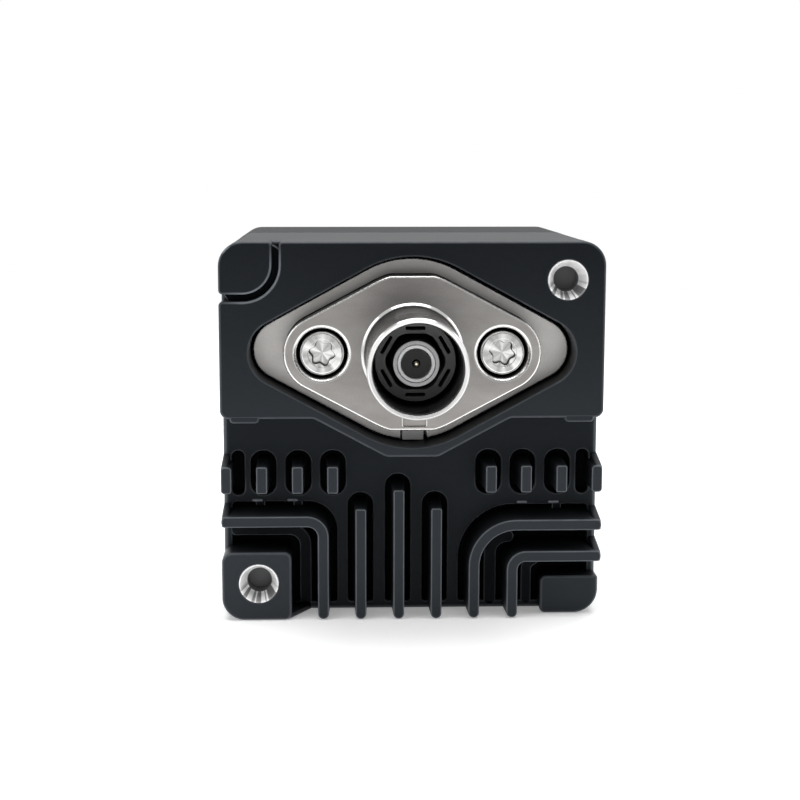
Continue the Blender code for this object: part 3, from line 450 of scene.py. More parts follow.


# Satin powder coat over a casting: fine grain, slow cloudiness, lighter on edges, partly rubbed and
# partly painted highlight. Recesses are darkened as painted shade, hollows near black as painted shade,
# and the colour gets darker towards the top.
def castingFinish(name, dark, light, edgeTone, rough, gloss):
    f = Finish(name, Metallic=0.0, Specular_IOR_Level=gloss, Specular_Tint=(0.8, 0.91, 1, 1))
    grain, cloud, peel = f.noise(5200, 4.0), f.noise(90), f.noise(1500, 2.0)
    side, depth, height = f.axes((0, faceY * mm, 0))
    side, height = side.math("ABSOLUTE") / (half * mm), height / (tall * mm)
    wall = (side.ramp(0.96, 0.985) + height.ramp(0.965, 0.985)).clamp()
    sunkShade = (depth / (recess * mm)).clamp() * (1 - wall) * (1 - (depth / (9 * mm)).ramp(0.9, 1.0))
    lower = 1 - height.ramp(0.38, 1.0)
    tone = ((cloud * 0.2 + grain * 0.2 + lower * 0.8) * (1 - sunkShade * 0.85) - 0.1).clamp()
    colour = f.blend(tone, dark, light)
    rubbedAndLit, hollowShade = f.wearAndLight()
    edge = (rubbedAndLit * (0.55 + f.noise(700, 2.0) * 0.6)).clamp()
    f.set(Base_Color=f.blend(hollowShade, f.blend(edge, colour, edgeTone), (0.0006, 0.0008, 0.0014)))
    f.set(Roughness=(rough + grain * 0.1 + cloud * 0.06 - edge * 0.1 + hollowShade * 0.55).clamp())
    return f.bump(peel * 0.6 + grain * 0.4, 0.00003, 0.55).material


# Plated die cast: warm grey, faint flow marks, fine pits; bright edges, partly rubbed and partly
# painted highlight; hollows darkened as painted shade.
def platedFinish():
    f = Finish("platedFlange", Metallic=1.0)
    flow, grain = f.noise(140, 4.0, (1, 1, 2.5)), f.noise(6500)
    rubbedAndLit, hollowShade = f.wearAndLight()
    edge = (rubbedAndLit * 1.2).clamp()
    x, y, _ = f.axes((0, faceY * mm, portZ * mm))
    # painted light: the rim lighter than the plateau, and its tips lighter still as painted reflection
    rim = (y / (flange["rimDepth"] * mm)).ramp(0.15, 0.8)
    tipReflection = rim * (x.math("ABSOLUTE") / 0.0185).ramp(0.5, 0.95)
    base = f.blend((flow * 0.35 + grain * 0.2 + rim * 0.36 + tipReflection * 0.12).clamp(),
                   (0.175, 0.163, 0.155), (0.8, 0.78, 0.755))
    base = f.blend(edge, base, (0.95, 0.94, 0.92))
    f.set(Base_Color=f.blend(hollowShade, base, 0.006))
    f.set(Roughness=0.48 + grain * 0.1 - edge * 0.26 + hollowShade * 0.3)
    return f.bump(grain * 0.7 + flow * 0.3, 0.00002, 0.4).material


# Turned steel: rings from the tool, and painted spokes of light and shade round the axis; edges lighter and
# less metallic, partly rubbed and partly painted highlight; hollows darkened as painted shade.
def turnedSteel(name, centre, bright, dim, ringWidth, streaks, rough, hollowShadeColour=0.05, rubAndGlint=1.0):
    f = Finish(name, Metallic=1.0)
    spoke, radius = f.spoke(centre)
    rays = f.noise(3.2, 2.0, where=spoke)
    rings = radius.wave(2 * math.pi / ringWidth)
    dust = f.noise(2600)
    share = (rays.ramp(0.38, 0.66) * streaks + (1 - streaks) + rings * 0.04 - dust * 0.05).clamp()
    rubbedAndLit, hollowShade = f.wearAndLight()
    base = f.blend(rubbedAndLit * rubAndGlint, f.blend(share, dim, bright), (0.96, 0.955, 0.945))
    f.set(Base_Color=f.blend(hollowShade, base, hollowShadeColour))
    f.set(Roughness=rough + dust * 0.05 + rings * 0.02 + hollowShade * 0.4, Metallic=1 - rubbedAndLit * (0.6 * rubAndGlint))
    return f.bump(rings, 0.000005, 0.2).material


# Cone near white as painted reflection, with a few dark wedges of painted reflection in its lower half and a
# soft painted sheen, and a grey bore darkened as painted shade.
def insertFinish(name, x, z):
    f = Finish(name, Metallic=0.1, Specular_IOR_Level=0.7)
    centre = (x * mm, 0, z * mm)
    spoke, radius = f.spoke(centre)
    below = ((0 - f.axes(centre)[2]) / radius).ramp(0.05, 0.4)
    reflectedWedges = f.noise(3.4, 0.5, where=spoke).ramp(0.49, 0.53) * below
    softSheen, dust = f.noise(1.6, 1.0, where=spoke).ramp(0.35, 0.65), f.noise(2600)
    rubbedAndLit, hollowShade = f.wearAndLight()
    share = (reflectedWedges * 0.85 + softSheen * 0.3 + dust * 0.1 - rubbedAndLit * 0.5).clamp()
    steel = f.blend(share, (1.0, 1.0, 0.995), (0.16, 0.16, 0.165))
    f.set(Base_Color=f.blend(hollowShade, steel, (0.13, 0.13, 0.135)))
    f.set(Roughness=0.26 + dust * 0.1 + hollowShade * 0.4)
    return f.bump((radius * 31400).math("SINE") * 0.5 + dust * 0.3, 0.000006, 0.3).material


# Screw head: rub marks and a painted radial sheen, edges bright, partly rubbed and partly painted highlight,
# and the recess darkened as painted shade.
def screwFinish(name, x):
    f = Finish(name, Metallic=1.0)
    rubAndGlint, dust = f.noise(900, 4.0, (1, 1, 3)), f.noise(5200)
    edge, hollowShade = f.wearAndLight()
    spoke, radius = f.spoke((x * mm, 0, portZ * mm))
    sheen = f.noise(1.7, 1.0, where=spoke).ramp(0.35, 0.65)
    base = f.blend((sheen * 0.75 + rubAndGlint * 0.3).clamp(), (0.3, 0.3, 0.295), (0.95, 0.945, 0.93))
    base = f.blend(edge, base, (0.97, 0.97, 0.96))
    f.set(Base_Color=f.blend(hollowShade, base, 0.02))
    f.set(Roughness=0.24 + dust * 0.14 - edge * 0.08 + hollowShade * 0.2)
    return f.bump((radius * 52000).math("SINE") * 0.4 + dust, 0.00001, 0.4).material


# Plastic: fine flecks and cloudiness; edges lighter, partly rubbed and partly painted highlight, and hollows
# near black as painted shade.
def plasticFinish(name, dark, light, rough=0.42, edgeTone=0.3, gloss=0.45):
    f = Finish(name, Specular_IOR_Level=gloss)
    spark, cloud = f.noise(7600), f.noise(260)
    rubbedAndLit, hollowShade = f.wearAndLight()
    base = f.blend(rubbedAndLit * 0.5, f.blend((spark * 0.6 + cloud * 0.5).clamp(), dark, light), edgeTone)
    f.set(Base_Color=f.blend(hollowShade, base, 0.002))
    f.set(Roughness=rough + spark * 0.16 + hollowShade * 0.3)
    return f.bump(spark, 0.00002, 0.5).material


def rubberFinish(name, dark, light):
    f = Finish(name, Specular_IOR_Level=0.3)
    grain, bloom = f.noise(4200, 4.0), f.noise(160, 2.0)
    f.set(Base_Color=f.blend((grain * 0.4 + bloom * 0.6).clamp(), dark, light))
    f.set(Roughness=0.68 + grain * 0.2)
    return f.bump(grain, 0.00003, 0.5).material


# Black anodised turned metal: tool rings along the axis, and lighter edges, partly rubbed and partly
# painted highlight.
def anodisedFinish():
    f = Finish("anodisedNose", Metallic=0.4, Specular_IOR_Level=0.3)
    rings = f.axes()[1].wave(2 * math.pi / 0.00035)
    grain, cloud = f.noise(5200), f.noise(140)
    edge = (f.wearAndLight()[0] * (0.35 + cloud * 0.5)).clamp()
    base = f.blend((cloud * 0.6 + rings * 0.2).clamp(), (0.01, 0.01, 0.012), (0.026, 0.026, 0.03))
    f.set(Base_Color=f.blend(edge, base, (0.16, 0.16, 0.165)))
    f.set(Roughness=0.3 + grain * 0.12 + rings * 0.05)
    return f.bump(rings * 0.5 + grain * 0.5, 0.000014, 0.4).material


# Solder mask over copper: straight traces, pads in rows and a slight green cloudiness.
def boardFinish():
    f = Finish("circuitBoard", Specular_IOR_Level=0.5, Coat_Weight=0.3)
    x, _, z = f.axes()
    lanes = x.wave(1450).ramp(0.72, 0.8)
    rows = z.wave(1180).ramp(0.74, 0.82)
    pick = f.noise(110, 1.0).ramp(0.48, 0.52)
    trace = (lanes * pick + rows * (1 - pick)).clamp()
    pads = (1 - f.cells(520).ramp(0.16, 0.2)) * f.noise(60, 0.0).ramp(0.52, 0.56)
    mask = f.blend(trace, (0.01, 0.06, 0.03), (0.022, 0.12, 0.055))
    f.set(Base_Color=f.blend(pads.clamp(), mask, (0.62, 0.6, 0.52)))
    f.set(Roughness=0.34 + f.noise(2400, 2.0) * 0.15 + pads * 0.1)
    return f.bump(trace * 0.5 + pads, 0.00003, 0.5).material


def glassFinish():
    f = Finish("coatedGlass", Transmission_Weight=0.92, IOR=1.5)
    smear = f.noise(90, 4.0)
    f.set(Base_Color=f.blend(smear, (0.72, 0.86, 0.83), (0.86, 0.84, 0.93)))
    return f.set(Roughness=smear * 0.05 + 0.01).material


def goldFinish():
    f = Finish("goldContact", Metallic=1.0)
    dust = f.noise(3000)
    f.set(Base_Color=f.blend(dust, (0.86, 0.78, 0.60), (0.95, 0.91, 0.80)))
    return f.set(Roughness=0.14 + dust * 0.12).material


def milledFinish():
    f = Finish("milledAluminium", Metallic=1.0)
    cut, dust = f.noise(500, 4.0, (1, 1, 14)), f.noise(3200, 2.0)
    f.set(Base_Color=f.blend(cut, (0.55, 0.55, 0.56), 0.8))
    f.set(Roughness=0.28 + dust * 0.14)
    return f.bump(cut, 0.00002, 0.4).material


flange = {
    "rimR": 10.75, "tipX": 14.8, "tipR": 3.65, "rimDepth": 3.6, "plateauR": 9.25, "plateauTipR": 4.4,
    "plateauDepth": 1.8, "screwX": 10.32, "flat": 8.9, "notch": (-1.1, 1.6), "play": 0.22, "lift": 0.1,
    "wayR": 5.6, "screwWayR": 1.45, "counterR": 2.95, "footR": 5.88,
}
portCentre = (0, 0, portZ * mm)
finishes = {
    "casting": castingFinish("satinCasting", (0.001, 0.0013, 0.002), (0.021, 0.0235, 0.027),
                             (0.2, 0.218, 0.238), 0.34, 0.22),
    "frontCasting": castingFinish("darkCasting", (0.002, 0.0025, 0.0034), (0.013, 0.015, 0.0175),
                                  (0.08, 0.088, 0.096), 0.42, 0.14),
    "plated": platedFinish(),
    # barrel: its last colour is the painted shade in its bore
    "barrel": turnedSteel("polishedBarrel", portCentre, (0.16, 0.156, 0.152), (0.08, 0.078, 0.075),
                          0.0002, 0.4, 0.12, (0.03, 0.028, 0.026)),
    "coaxMetal": turnedSteel("coaxMetal", portCentre, (0.27, 0.27, 0.275), (0.21, 0.21, 0.215), 0.00014,
                             0.3, 0.25, rubAndGlint=0.15),
    "frontScrew": turnedSteel("frontScrewSteel", (0, 0, axisZ * mm), 0.5, (0.25, 0.25, 0.26), 0.0004,
                              0.4, 0.3),
    "plastic": plasticFinish("blackPlastic", (0.01, 0.01, 0.011), (0.032, 0.032, 0.033)),
    "sleevePlastic": plasticFinish("sleevePlastic", 0.1, 0.15, 0.5),
    "corePlastic": plasticFinish("corePlastic", 0.004, 0.009, 0.5, gloss=0.12),
    "whitePlastic": plasticFinish("whiteDielectric", (0.86, 0.87, 0.88), (0.93, 0.93, 0.94), 0.3, 0.9),
    "creamPlastic": plasticFinish("creamPlastic", (0.55, 0.5, 0.4), (0.72, 0.68, 0.58), 0.35,
                                  (0.8, 0.78, 0.7)),
    "ceramic": plasticFinish("whiteCeramic", (0.7, 0.7, 0.68), (0.86, 0.86, 0.84), 0.45, 0.9),
    "capPlastic": plasticFinish("capPlastic", (0.005, 0.005, 0.006), (0.014, 0.014, 0.015), 0.5,
                                (0.06, 0.06, 0.062), 0.22),
    "rubber": rubberFinish("blackRubber", 0.012, (0.035, 0.035, 0.036)),
    "gasket": rubberFinish("greyGasket", 0.1, 0.15),
    # the flange gasket: light grey so that its tab still reads grey in the shade of the rim's notch, painted
    # light
    "tab": rubberFinish("tabRubber", 0.56, 0.7),
    "anodised": anodisedFinish(),
    "board": boardFinish(),
    "glass": glassFinish(),
    "gold": goldFinish(),
    "milled": milledFinish(),
}
print("finishes ready")

# In millimetres: fins are (x, top), bends ((x, z), radius, side), ribs (path, half width).
# The slot, fin-root and mid-level shade values are painted shade; shine and finShine scale the edge values,
# partly rubbed and partly painted highlight.
rearHousing = {
    "cornerR": 2.8, "edge": 0.32, "padEdge": 0.28, "shine": 0.3, "midLevelShade": -0.15, "lip": 1.0,
    "lipR": 0.35, "slotRim": 0.22, "slotFloorR": 0.26, "slotShade": 0.95, "slotRise": 1.1,
    "finShine": 0.6, "finRootShade": 0.8, "finHalf": 0.63, "finEdge": 0.17, "draft": 0.035,
    "finRoot": slotY + 0.6,
    "longFins": ((-5.92, 13.1), (-1.52, 15.33), (2.84, 13.15)), "longSlotHalf": 1.47,
    "shortX": (9.15, 13.2, 17.3, 21.4), "shortZ": (14.97, 18.11), "outermost": 20,
    "pocketZ": (14.0, 19.28), "pocketHalf": 1.48,
    "bends": (((-10.27, 11.65), 1.85, -1), ((7.23, 11.09), 4.9, 1), ((11.68, 7.35), 1.6, 1)),
    "bendGap": 1.57, "blockZ": 23.7, "blockLow": 19.2, "slantX": (3.0, 11.3),
    "grooveX": -15.55, "grooveZ": 37.6, "grooveR": 3.8, "grooveHalf": 0.4, "grooveDepth": 1.6,
    "ribs": ((((-half + 1.4, 9.8, 0), (-12.4, 9.8, 1.9), (-12.4, 1.0, 0)), 0.7),
             (((11.6, 8.8, 0), (9.45, 8.6, 2.0), (9.45, 1.0, 0)), 0.74),
             (((14.9, 6.1, 0), (13.77, 5.3, 0.95), (13.77, 1.0, 0)), 0.64)),
    "studs": ((-17.75, 12.2, 13.3), (17.5, 11.6, 12.9), (-13.3, 12.2, 13.3)),
    "ledges": ((-18.02, 13.36), (-13.92, 13.36), (13.18, 12.96), (16.92, 12.96)), "ledgeHalf": (0.62, 0.16),
}
inserts = {"insert_top_right": (17.65, 39.6), "insert_bottom_left": (-17.75, 4.35)}


def insertHole(node):
    return circleLoop(*inserts[node], 2.36, 72)


# Pockets for the slots between the fins; their walls and floors darken as painted shade.
def slotPockets(h):
    inner, lip, lipR, gap = half - h["lip"], h["lip"], h["lipR"], h["bendGap"]
    loops = []
    for x, top in h["longFins"]:
        w, rise = h["longSlotHalf"], top + h["slotRise"]
        loops.append(roundedLoop([(x - w, lip, lipR), (x + w, lip, lipR), (x + w, rise, w - 0.03),
                                  (x - w, rise, w - 0.03)]))
    (x, z), bend = h["bends"][0][:2]
    edge, top = x + gap, z + gap - 0.05
    loops.append(roundedLoop([(-inner, lip, lipR), (edge, lip, lipR), (edge, top, bend + gap),
                              (-inner, top, 0.5)]))
    (x, z), bend = h["bends"][1][:2]
    edge, top = x - gap, z + gap
    loops.append(roundedLoop([(edge, lip, lipR), (inner, lip, lipR), (inner, top, 0.5),
                              (edge, top, bend + gap)]))
    for sign in (-1, 1):
        for x in h["shortX"]:
            reach = h["pocketHalf"] + (0.4 if x > h["outermost"] else 0.0)
            left = max(sign * x - reach, -inner)
            right = min(sign * x + reach, inner)
            loops.append(boxLoop(left, right, *h["pocketZ"], min(1.4, (right - left) / 2 - 0.03)))
    return [(loop, slotY, h["slotRim"], h["slotFloorR"], (h["slotShade"],) * 2) for loop in loops]


# The upper block's outline without the corner pad: body corners, groove edge, slants to the low flat.
def blockLoop(h):
    g = h["grooveHalf"]
    x, z = h["grooveX"] + g, h["grooveZ"] - g
    s0, s1 = h["slantX"]
    top = h["blockZ"]
    return roundedLoop([
        (-half, top, 1.0), (-s1, top, 1.5), (-s0, h["blockLow"], 1.5), (s0, h["blockLow"], 1.5),
        (s1, top, 1.5), (half, top, 1.0), (half, tall, h["cornerR"]), (x, tall, 0.5),
        (x, z, h["grooveR"] + g), (-half, z, 0.5)])


def padLoop(h):
    g = h["grooveHalf"]
    x, z = h["grooveX"] - g, h["grooveZ"] + g
    return roundedLoop([(-half, z, 0.5), (x, z, h["grooveR"] - g), (x, tall, 0.5),
                        (-half, tall, h["cornerR"])])


# Fins and their feet on the side walls: strips along paths, wider at the root than at the crest.
# The fins' walls darken towards the root as painted shade.
def addFins(heap, h):
    w = h["finHalf"]

    def fin(loop, draft=h["draft"]):
        addSlab(heap, loop, faceY, h["finRoot"], h["finEdge"], draft=draft, shine=h["finShine"],
                paintedShade=h["finRootShade"])

    def foot(inner, outer, nearZ, farZ):
        x0, x1 = sorted((inner, outer))
        addTaper(heap, boxLoop(x0, x1, *nearZ, 0.2), faceY + 0.12,
                 boxLoop(x0, x1, *farZ, 0.2), midY + 0.4, 0.15)

    for x, top in h["longFins"]:
        fin(roundedLoop([(x - w, 0.02, w - 0.02), (x + w, 0.02, w - 0.02), (x + w, top, 0.27),
                         (x - w, top, 0.27)]))
    for (x, z), radius, sign in h["bends"]:
        path = roundedLoop([(sign * (half - w * 0.6), z, 0), (x, z, radius), (x, w + 0.02, 0)])
        fin(stripLoop(path, w, 0.6, 0.95))
        foot(sign * (half - h["lip"] + 0.1), sign * (half - 0.03), (z - w, z + w - 0.05),
             (z - w - 0.3, z + w + 0.85))
    low, high = h["shortZ"]
    for sign in (-1, 1):
        for x in h["shortX"]:
            outer = x > h["outermost"]
            x0, x1 = max(sign * x - w, -half), min(sign * x + w, half)
            fin(boxLoop(x0, x1, low, high, 0.42 if outer else 0.24), 0.0 if outer else h["draft"])
        foot(sign * (half - h["lip"] + 0.15), sign * (half - 0.02), (low + 0.3, high),
             (low - 0.3, high + 0.9))


# Low ribs between the fins, darkened as painted shade, studs, and small ledges under the bar that carries
# the short fins, lightened as painted highlights.
def addRibs(heap, h):
    for corners, w in h["ribs"]:
        addSlab(heap, stripLoop(roundedLoop(corners), w, 0.9, 0.9), midY, h["finRoot"], 0.22, draft=0.03,
                tone=-0.6)
    for x, low, high in h["studs"]:
        addTaper(heap, boxLoop(x - 0.55, x + 0.55, low, high, 0.2), slotY - 0.9,
                 boxLoop(x - 0.75, x + 0.75, low - 0.2, high + 0.1, 0.25), h["finRoot"], 0.15)
    dx, dz = h["ledgeHalf"]
    for x, z in h["ledges"]:
        ledge = boxLoop(x - dx, x + dx, z - dz, z + dz, 0.15)
        addSlab(heap, ledge, midY - 0.14, midY + 0.5, 0.12, tone=1.0)


def addBosses(heap, h):
    left = roundedLoop([(-half, 0, h["cornerR"] - 0.2), (-13.95, 0, 0.85), (-13.95, 8.04, 0.85),
                        (-half, 8.04, 1.25)])
    # the insert's hole darkens as painted shade
    addSlab(heap, left, faceY, h["finRoot"], holes=[(insertHole("insert_bottom_left"), 0.05, 0.9)],
            shine=h["shine"])
    foot = boxLoop(-15.2, -11.65, 0.02, 0.95, 0.3)
    addTaper(heap, boxLoop(-15.2, -14.1, 0.02, 0.8, 0.3), faceY + 0.3, foot, midY + 0.3, 0.1)
    right = roundedLoop([(15.2, 0, 0.6), (half, 0, 2.8), (half, 4.5, 0.35), (15.2, 4.5, 0.7)])
    addSlab(heap, right, faceY + 1.6, h["finRoot"], shine=h["shine"])
    for sign in (-1, 1):
        bump = boxLoop(sign * 19.2 - 1.7, sign * 19.2 + 1.7, h["blockZ"] - 0.5, h["blockZ"] + 1.4, 0.48)
        addSlab(heap, bump, faceY + 0.02, midY + 0.5, 0.25, shine=h["shine"])


def makeRearHousing(h):
    heap = Heap()
    pocket = diamondLoop(flange["rimR"] + flange["play"], flange["tipX"], flange["tipR"] + flange["play"])
    pocket = pocket + [0, flange["lift"]]
    hole = insertHole("insert_top_right")
    body = boxLoop(-half + 0.02, half - 0.02, 0.02, tall - 0.02, h["cornerR"], 6)
    # the mid level, the slots, the flange's pocket and the insert's hole darken as painted shade
    pockets = slotPockets(h) + [(pocket, boxMm("flange_gasket")[1][1] + 0.05, 0.1, 0.2, (0.8, 1.0)),
                                (hole, faceY + 6.2, 0.05, 0.1, (1.0, 1.0))]
    addSlab(heap, body, midY, splitY, 0.55, 0.25, pockets=pockets, tone=h["midLevelShade"],
            shine=h["shine"] * 1.6)
    addSlab(heap, blockLoop(h), faceY, midY + 0.6, h["edge"], holes=[(pocket, 0.2, 0.15), (hole, 0.05, 0.9)],
            shine=h["shine"])
    addSlab(heap, padLoop(h), faceY, midY + 0.6, h["padEdge"], shine=h["shine"])
    # the groove's floor is darkened as painted shade
    floorLoop = boxLoop(-half + 0.25, h["grooveX"] + 1.2, h["grooveZ"] - 1.2, tall - 0.25, 2.6)
    addSlab(heap, floorLoop, faceY + h["grooveDepth"], midY + 0.5, 0.15, tone=-0.75)
    addFins(heap, h)
    addRibs(heap, h)
    addBosses(heap, h)
    # nothing leaves the imported box, the outer sides keep no painted shade, and the corner groove's edges
    # get the strongest painted highlight
    for i, points in enumerate(heap.points):
        points[:, 0] = np.clip(points[:, 0], -half, half)
        points[:, 2] = np.maximum(points[:, 2], 0)
        x, y, z = points.T
        outer = (y > midY + 0.5) & ((abs(x) > half - 0.1) | (z < 0.1) | (z > tall - 0.1))
        heap.edges[i] = np.where(outer & (heap.edges[i] < 0), 0.0, heap.edges[i])
        groove = (x > -half + 0.6) & (x < h["grooveX"] + 1) & (z > h["grooveZ"] - 1) & (z < tall - 0.6)
        heap.edges[i] = np.where(groove & (heap.edges[i] > 0), heap.edges[i] * 3.2, heap.edges[i])
    heap.place("rearHousing", "casting", "rear_housing", "black_casting")


makeRearHousing(rearHousing)
print("rear housing done")

frontHousing = {"boreR": 12.7, "boreFloor": 14.7, "wallY": 12.0, "openingR": 9.2, "screwAt": 18.2,
                "counterR": 2.4}


def makeFrontHousing(h):
    heap = Heap()
    near, back = frontHigh[1], frontLow[1]
    body = boxLoop(-half, half, 0, tall, rearHousing["cornerR"], 6)
    floorY, wallY = h["boreFloor"], h["wallY"]
    # the counterbores, the bore and the openings darken as painted shade
    pockets = [(circleLoop(sx * h["screwAt"], axisZ + sz * h["screwAt"], h["counterR"], 64), near - 3.0,
                0.15, 0.1, (0.8, 0.8)) for sx in (-1, 1) for sz in (-1, 1)]
    addSlab(heap, body, near, wallY, 0.35, pockets=pockets,
            holes=[(circleLoop(0, axisZ, h["boreR"]), 0.3, 0.3)])
    addSlab(heap, circleLoop(0, axisZ, h["boreR"] + 0.05), floorY, wallY, 0.02,
            holes=[(circleLoop(0, axisZ, h["openingR"]), 0.2, 0.3)])
    addSlab(heap, body, back, wallY, 0.25, holes=[(boxLoop(-19, 19, 3.0, 41.0, 1.0), 0.1, 0.3)])
    heap.place("frontHousing", "frontCasting", "front_housing", "dark_casting")


# Insert: flat rim, cone, then a blind bore whose radius steps in and out by the thread's depth; the bore
# is darkened as painted shade.
def makeInsert(node, x, z):
    y = faceY
    cone = [(0, y + 5.8), (2.3, y + 5.8), (2.3, y + 0.02), (2.14, y + 0.02), (1.56, y + 1.5),
            (1.48, y + 1.6)]
    threads = [(1.42 + (0.06 if i % 2 else 0.0), y + 1.7 + 0.2 * i) for i in range(7)]
    profile = cone + threads + [(1.42, y + 3.2), (0, y + 3.2)]
    heap = Heap()
    addTurned(heap, profile, x, z, 128, 0.035,
              paint=lambda r, depth, wearAndLight: np.where((r < 1.53) & (depth > y + 1.62), -1.0, wearAndLight))
    heap.place(node + "_fine", insertFinish(node + "Steel", x, z), node, "steel")


screws = {
    "flange_screw": {"headR": 2.5, "headDepth": 1.15, "shankR": 1.15, "lobe": 1.36},
    "housing_screw": {"headR": 2.2, "headDepth": 2.4, "shankR": 1.25, "lobe": 1.0},
}


# Screw: head with a six-lobe recess, and a plain shank behind it; toward is the way it was driven.
def makeScrew(node, s, toward, finish):
    low, high = boxMm(node)
    x, z = (low[0] + high[0]) / 2, (low[2] + high[2]) / 2
    crown, shankEnd = (low[1], high[1]) if toward > 0 else (high[1], low[1])
    seat, step = crown + toward * s["headDepth"], crown + toward * 0.12
    lobe, edge = s["lobe"], 0.3
    heap = Heap()
    # the ring round the recess and the recess wall darken as painted shade; the recess floor stays light
    addSlab(heap, circleLoop(x, z, s["headR"]), crown, step + toward * edge, edge,
            holes=[(circleLoop(x, z, lobe * 1.2), 0.04, 0.8)])
    addSlab(heap, circleLoop(x, z, s["headR"] - 0.01), step, seat, 0.0, 0.05,
            pockets=[(circleLoop(x, z, lobe, 120, lobe * 0.13), crown + toward * lobe * 0.5, 0.05, 0.2,
                      (1.0, 0.0))])
    addSlab(heap, circleLoop(x, z, s["shankR"], 32), seat - toward * 0.02, shankEnd, 0.02, 0.2)
    heap.place(node + "_fine", finish, node, "steel")


makeFrontHousing(frontHousing)
for node, (x, z) in inserts.items():
    makeInsert(node, x, z)
for side, x in (("left", -flange["screwX"]), ("right", flange["screwX"])):
    makeScrew("flange_screw_" + side, screws["flange_screw"], 1, screwFinish("flangeScrew_" + side, x))
for number in range(1, 5):
    makeScrew(f"housing_screw_{number}", screws["housing_screw"], -1, "frontScrew")
print("front housing, inserts and screws done")


# Two round holes at the flange's screws; the last argument is painted shade.
def screwHoles(radius, count, rim, paintedShade):
    return [(circleLoop(sign * flange["screwX"], portZ, radius, count), rim, paintedShade) for sign in (-1, 1)]


# Flange: a plateau on a rim plate, which has a notch cut into its lower edge.
def makeFlange(f):
    heap = Heap()
    stepY, rimY, backY = faceY + f["plateauDepth"], faceY + f["rimDepth"], boxMm("connector_flange")[1][1]
    x0, x1 = f["notch"]
    rim = diamondLoop(f["rimR"], f["tipX"], f["tipR"])
    bottom = rim[:, 1] < portZ - f["rimR"] + 1.8
    keep = rim[~(bottom & (rim[:, 0] > x0) & (rim[:, 0] < x1))]
    away = np.hypot(keep[:, 0] - x0, keep[:, 1] - (portZ - f["rimR"]))
    before = int(np.argmin(np.where(keep[:, 0] <= x0, away, np.inf)))
    inside = portZ - f["flat"] - 0.3
    rimLoop = np.insert(keep, before + 1, [[x0, inside], [x1, inside]], axis=0)
    # the flange's holes darken as painted shade
    way = (circleLoop(0, portZ, f["wayR"]), 0.1, 0.5)
    ways = [way] + screwHoles(f["screwWayR"], 48, 0.05, 1.0)
    addSlab(heap, rimLoop, rimY, backY, 0.25, holes=ways)
    plateau = diamondLoop(f["plateauR"], f["screwX"], f["plateauTipR"], f["flat"])
    pad = boxLoop(x0, x1, portZ - f["flat"] + 0.5, portZ - f["footR"] - 0.25, 0.14)
    addSlab(heap, plateau, faceY, stepY, 0.28, holes=[way] + screwHoles(f["counterR"], 96, 0.42, 1.0),
            pockets=[(pad, faceY + 0.22, 0.1, 0.06, (0.0, 0.0))])
    # the wall under the plateau is near black as painted shade
    addSlab(heap, plateau, stepY, rimY + 0.4, 0.0, holes=ways, tone=-1.0)
    heap.place("connectorFlange", "plated", "connector_flange", "flange_metal")


# Gasket: plate behind the flange, with a tab that fills the notch in the flange's rim.
def makeGasket(f):
    back, front = boxMm("flange_gasket")[1][1], boxMm("connector_flange")[1][1] + 0.02
    heap = Heap()
    plate = diamondLoop(f["rimR"] - 0.1, f["tipX"], f["tipR"] - 0.1)
    ways = [(circleLoop(0, portZ, f["wayR"]), 0.05, 0.0)] + screwHoles(1.6, 48, 0.05, 0.0)
    addSlab(heap, plate, front, back, 0.05, holes=ways)
    x0, x1 = f["notch"]
    tab = boxLoop(x0 + 0.1, x1 - 0.1, portZ - f["rimR"] + 0.02, portZ - f["flat"] - 0.36, 0.08)
    addSlab(heap, tab, faceY + f["rimDepth"] + 0.1, back - 0.1, 0.06)
    heap.place("flangeGasket", "tab", "flange_gasket", "gasket_grey")


def portPiece(node, profile, finish, slot, count=128, soften=0.06, paint=None):
    heap = Heap()
    addTurned(heap, profile, 0, portZ, count, soften, paint=paint)
    heap.place(node + "_fine", finish, node, slot)


def makeBarrel(footR):
    top, tail = portLow[1], portHigh[1]
    ring = faceY - 0.1
    profile = [(5.28, top), (5.45, top + 0.17), (5.45, ring - 0.42), (5.62, ring - 0.42),
               (footR, ring - 0.18), (footR, ring), (5.45, ring), (5.45, tail - 1.6), (3.1, tail - 1.6),
               (3.1, tail - 3.2), (4.8, tail - 3.2), (4.8, top + 0.35), (4.95, top + 0.05)]

    # painted shade on the bore and the foot line, painted highlights on the mouth and base ring
    def paint(r, y, wearAndLight):
        shadedBand = ((r < 4.85) & (y > top + 0.7)) | ((r < 5.52) & (abs(y - ring + 0.42) < 0.1))
        lit = ((r > 4.92) & (y < top + 0.06)) | (r > 5.6)
        return np.where(shadedBand, -1.0, np.where(lit, 0.8, wearAndLight))

    portPiece("connector_barrel", profile, "barrel", "steel", 160, 0.09, paint)


# Sleeve face with a six-sided mouth and six spring slots turned by 60 degrees each; the mouth and slots
# darken as painted shade.
def makeSleeve():
    low, high = boxMm("coding_sleeve")
    corner = 3.05 / math.cos(math.radians(30))
    turns = np.radians(range(0, 360, 60))
    mouth = roundedLoop([(corner * math.cos(a), corner * math.sin(a) + portZ, 1.6) for a in turns])
    flat = boxLoop(-1.1, 1.1, 3.48, 3.88, 0.15)
    slots = []
    for a in turns:
        turn = np.array([[math.cos(a), math.sin(a)], [-math.sin(a), math.cos(a)]])
        slots.append((flat @ turn + [0, portZ], low[1] + 3, 0.08, 0.05, (1.0, 1.0)))
    heap = Heap()
    addSlab(heap, circleLoop(0, portZ, 4.45), low[1], high[1], 0.18, pockets=slots,
            holes=[(mouth, 0.22, 0.9)])
    heap.place("codingSleeve", "sleevePlastic", "coding_sleeve", "black_plastic")


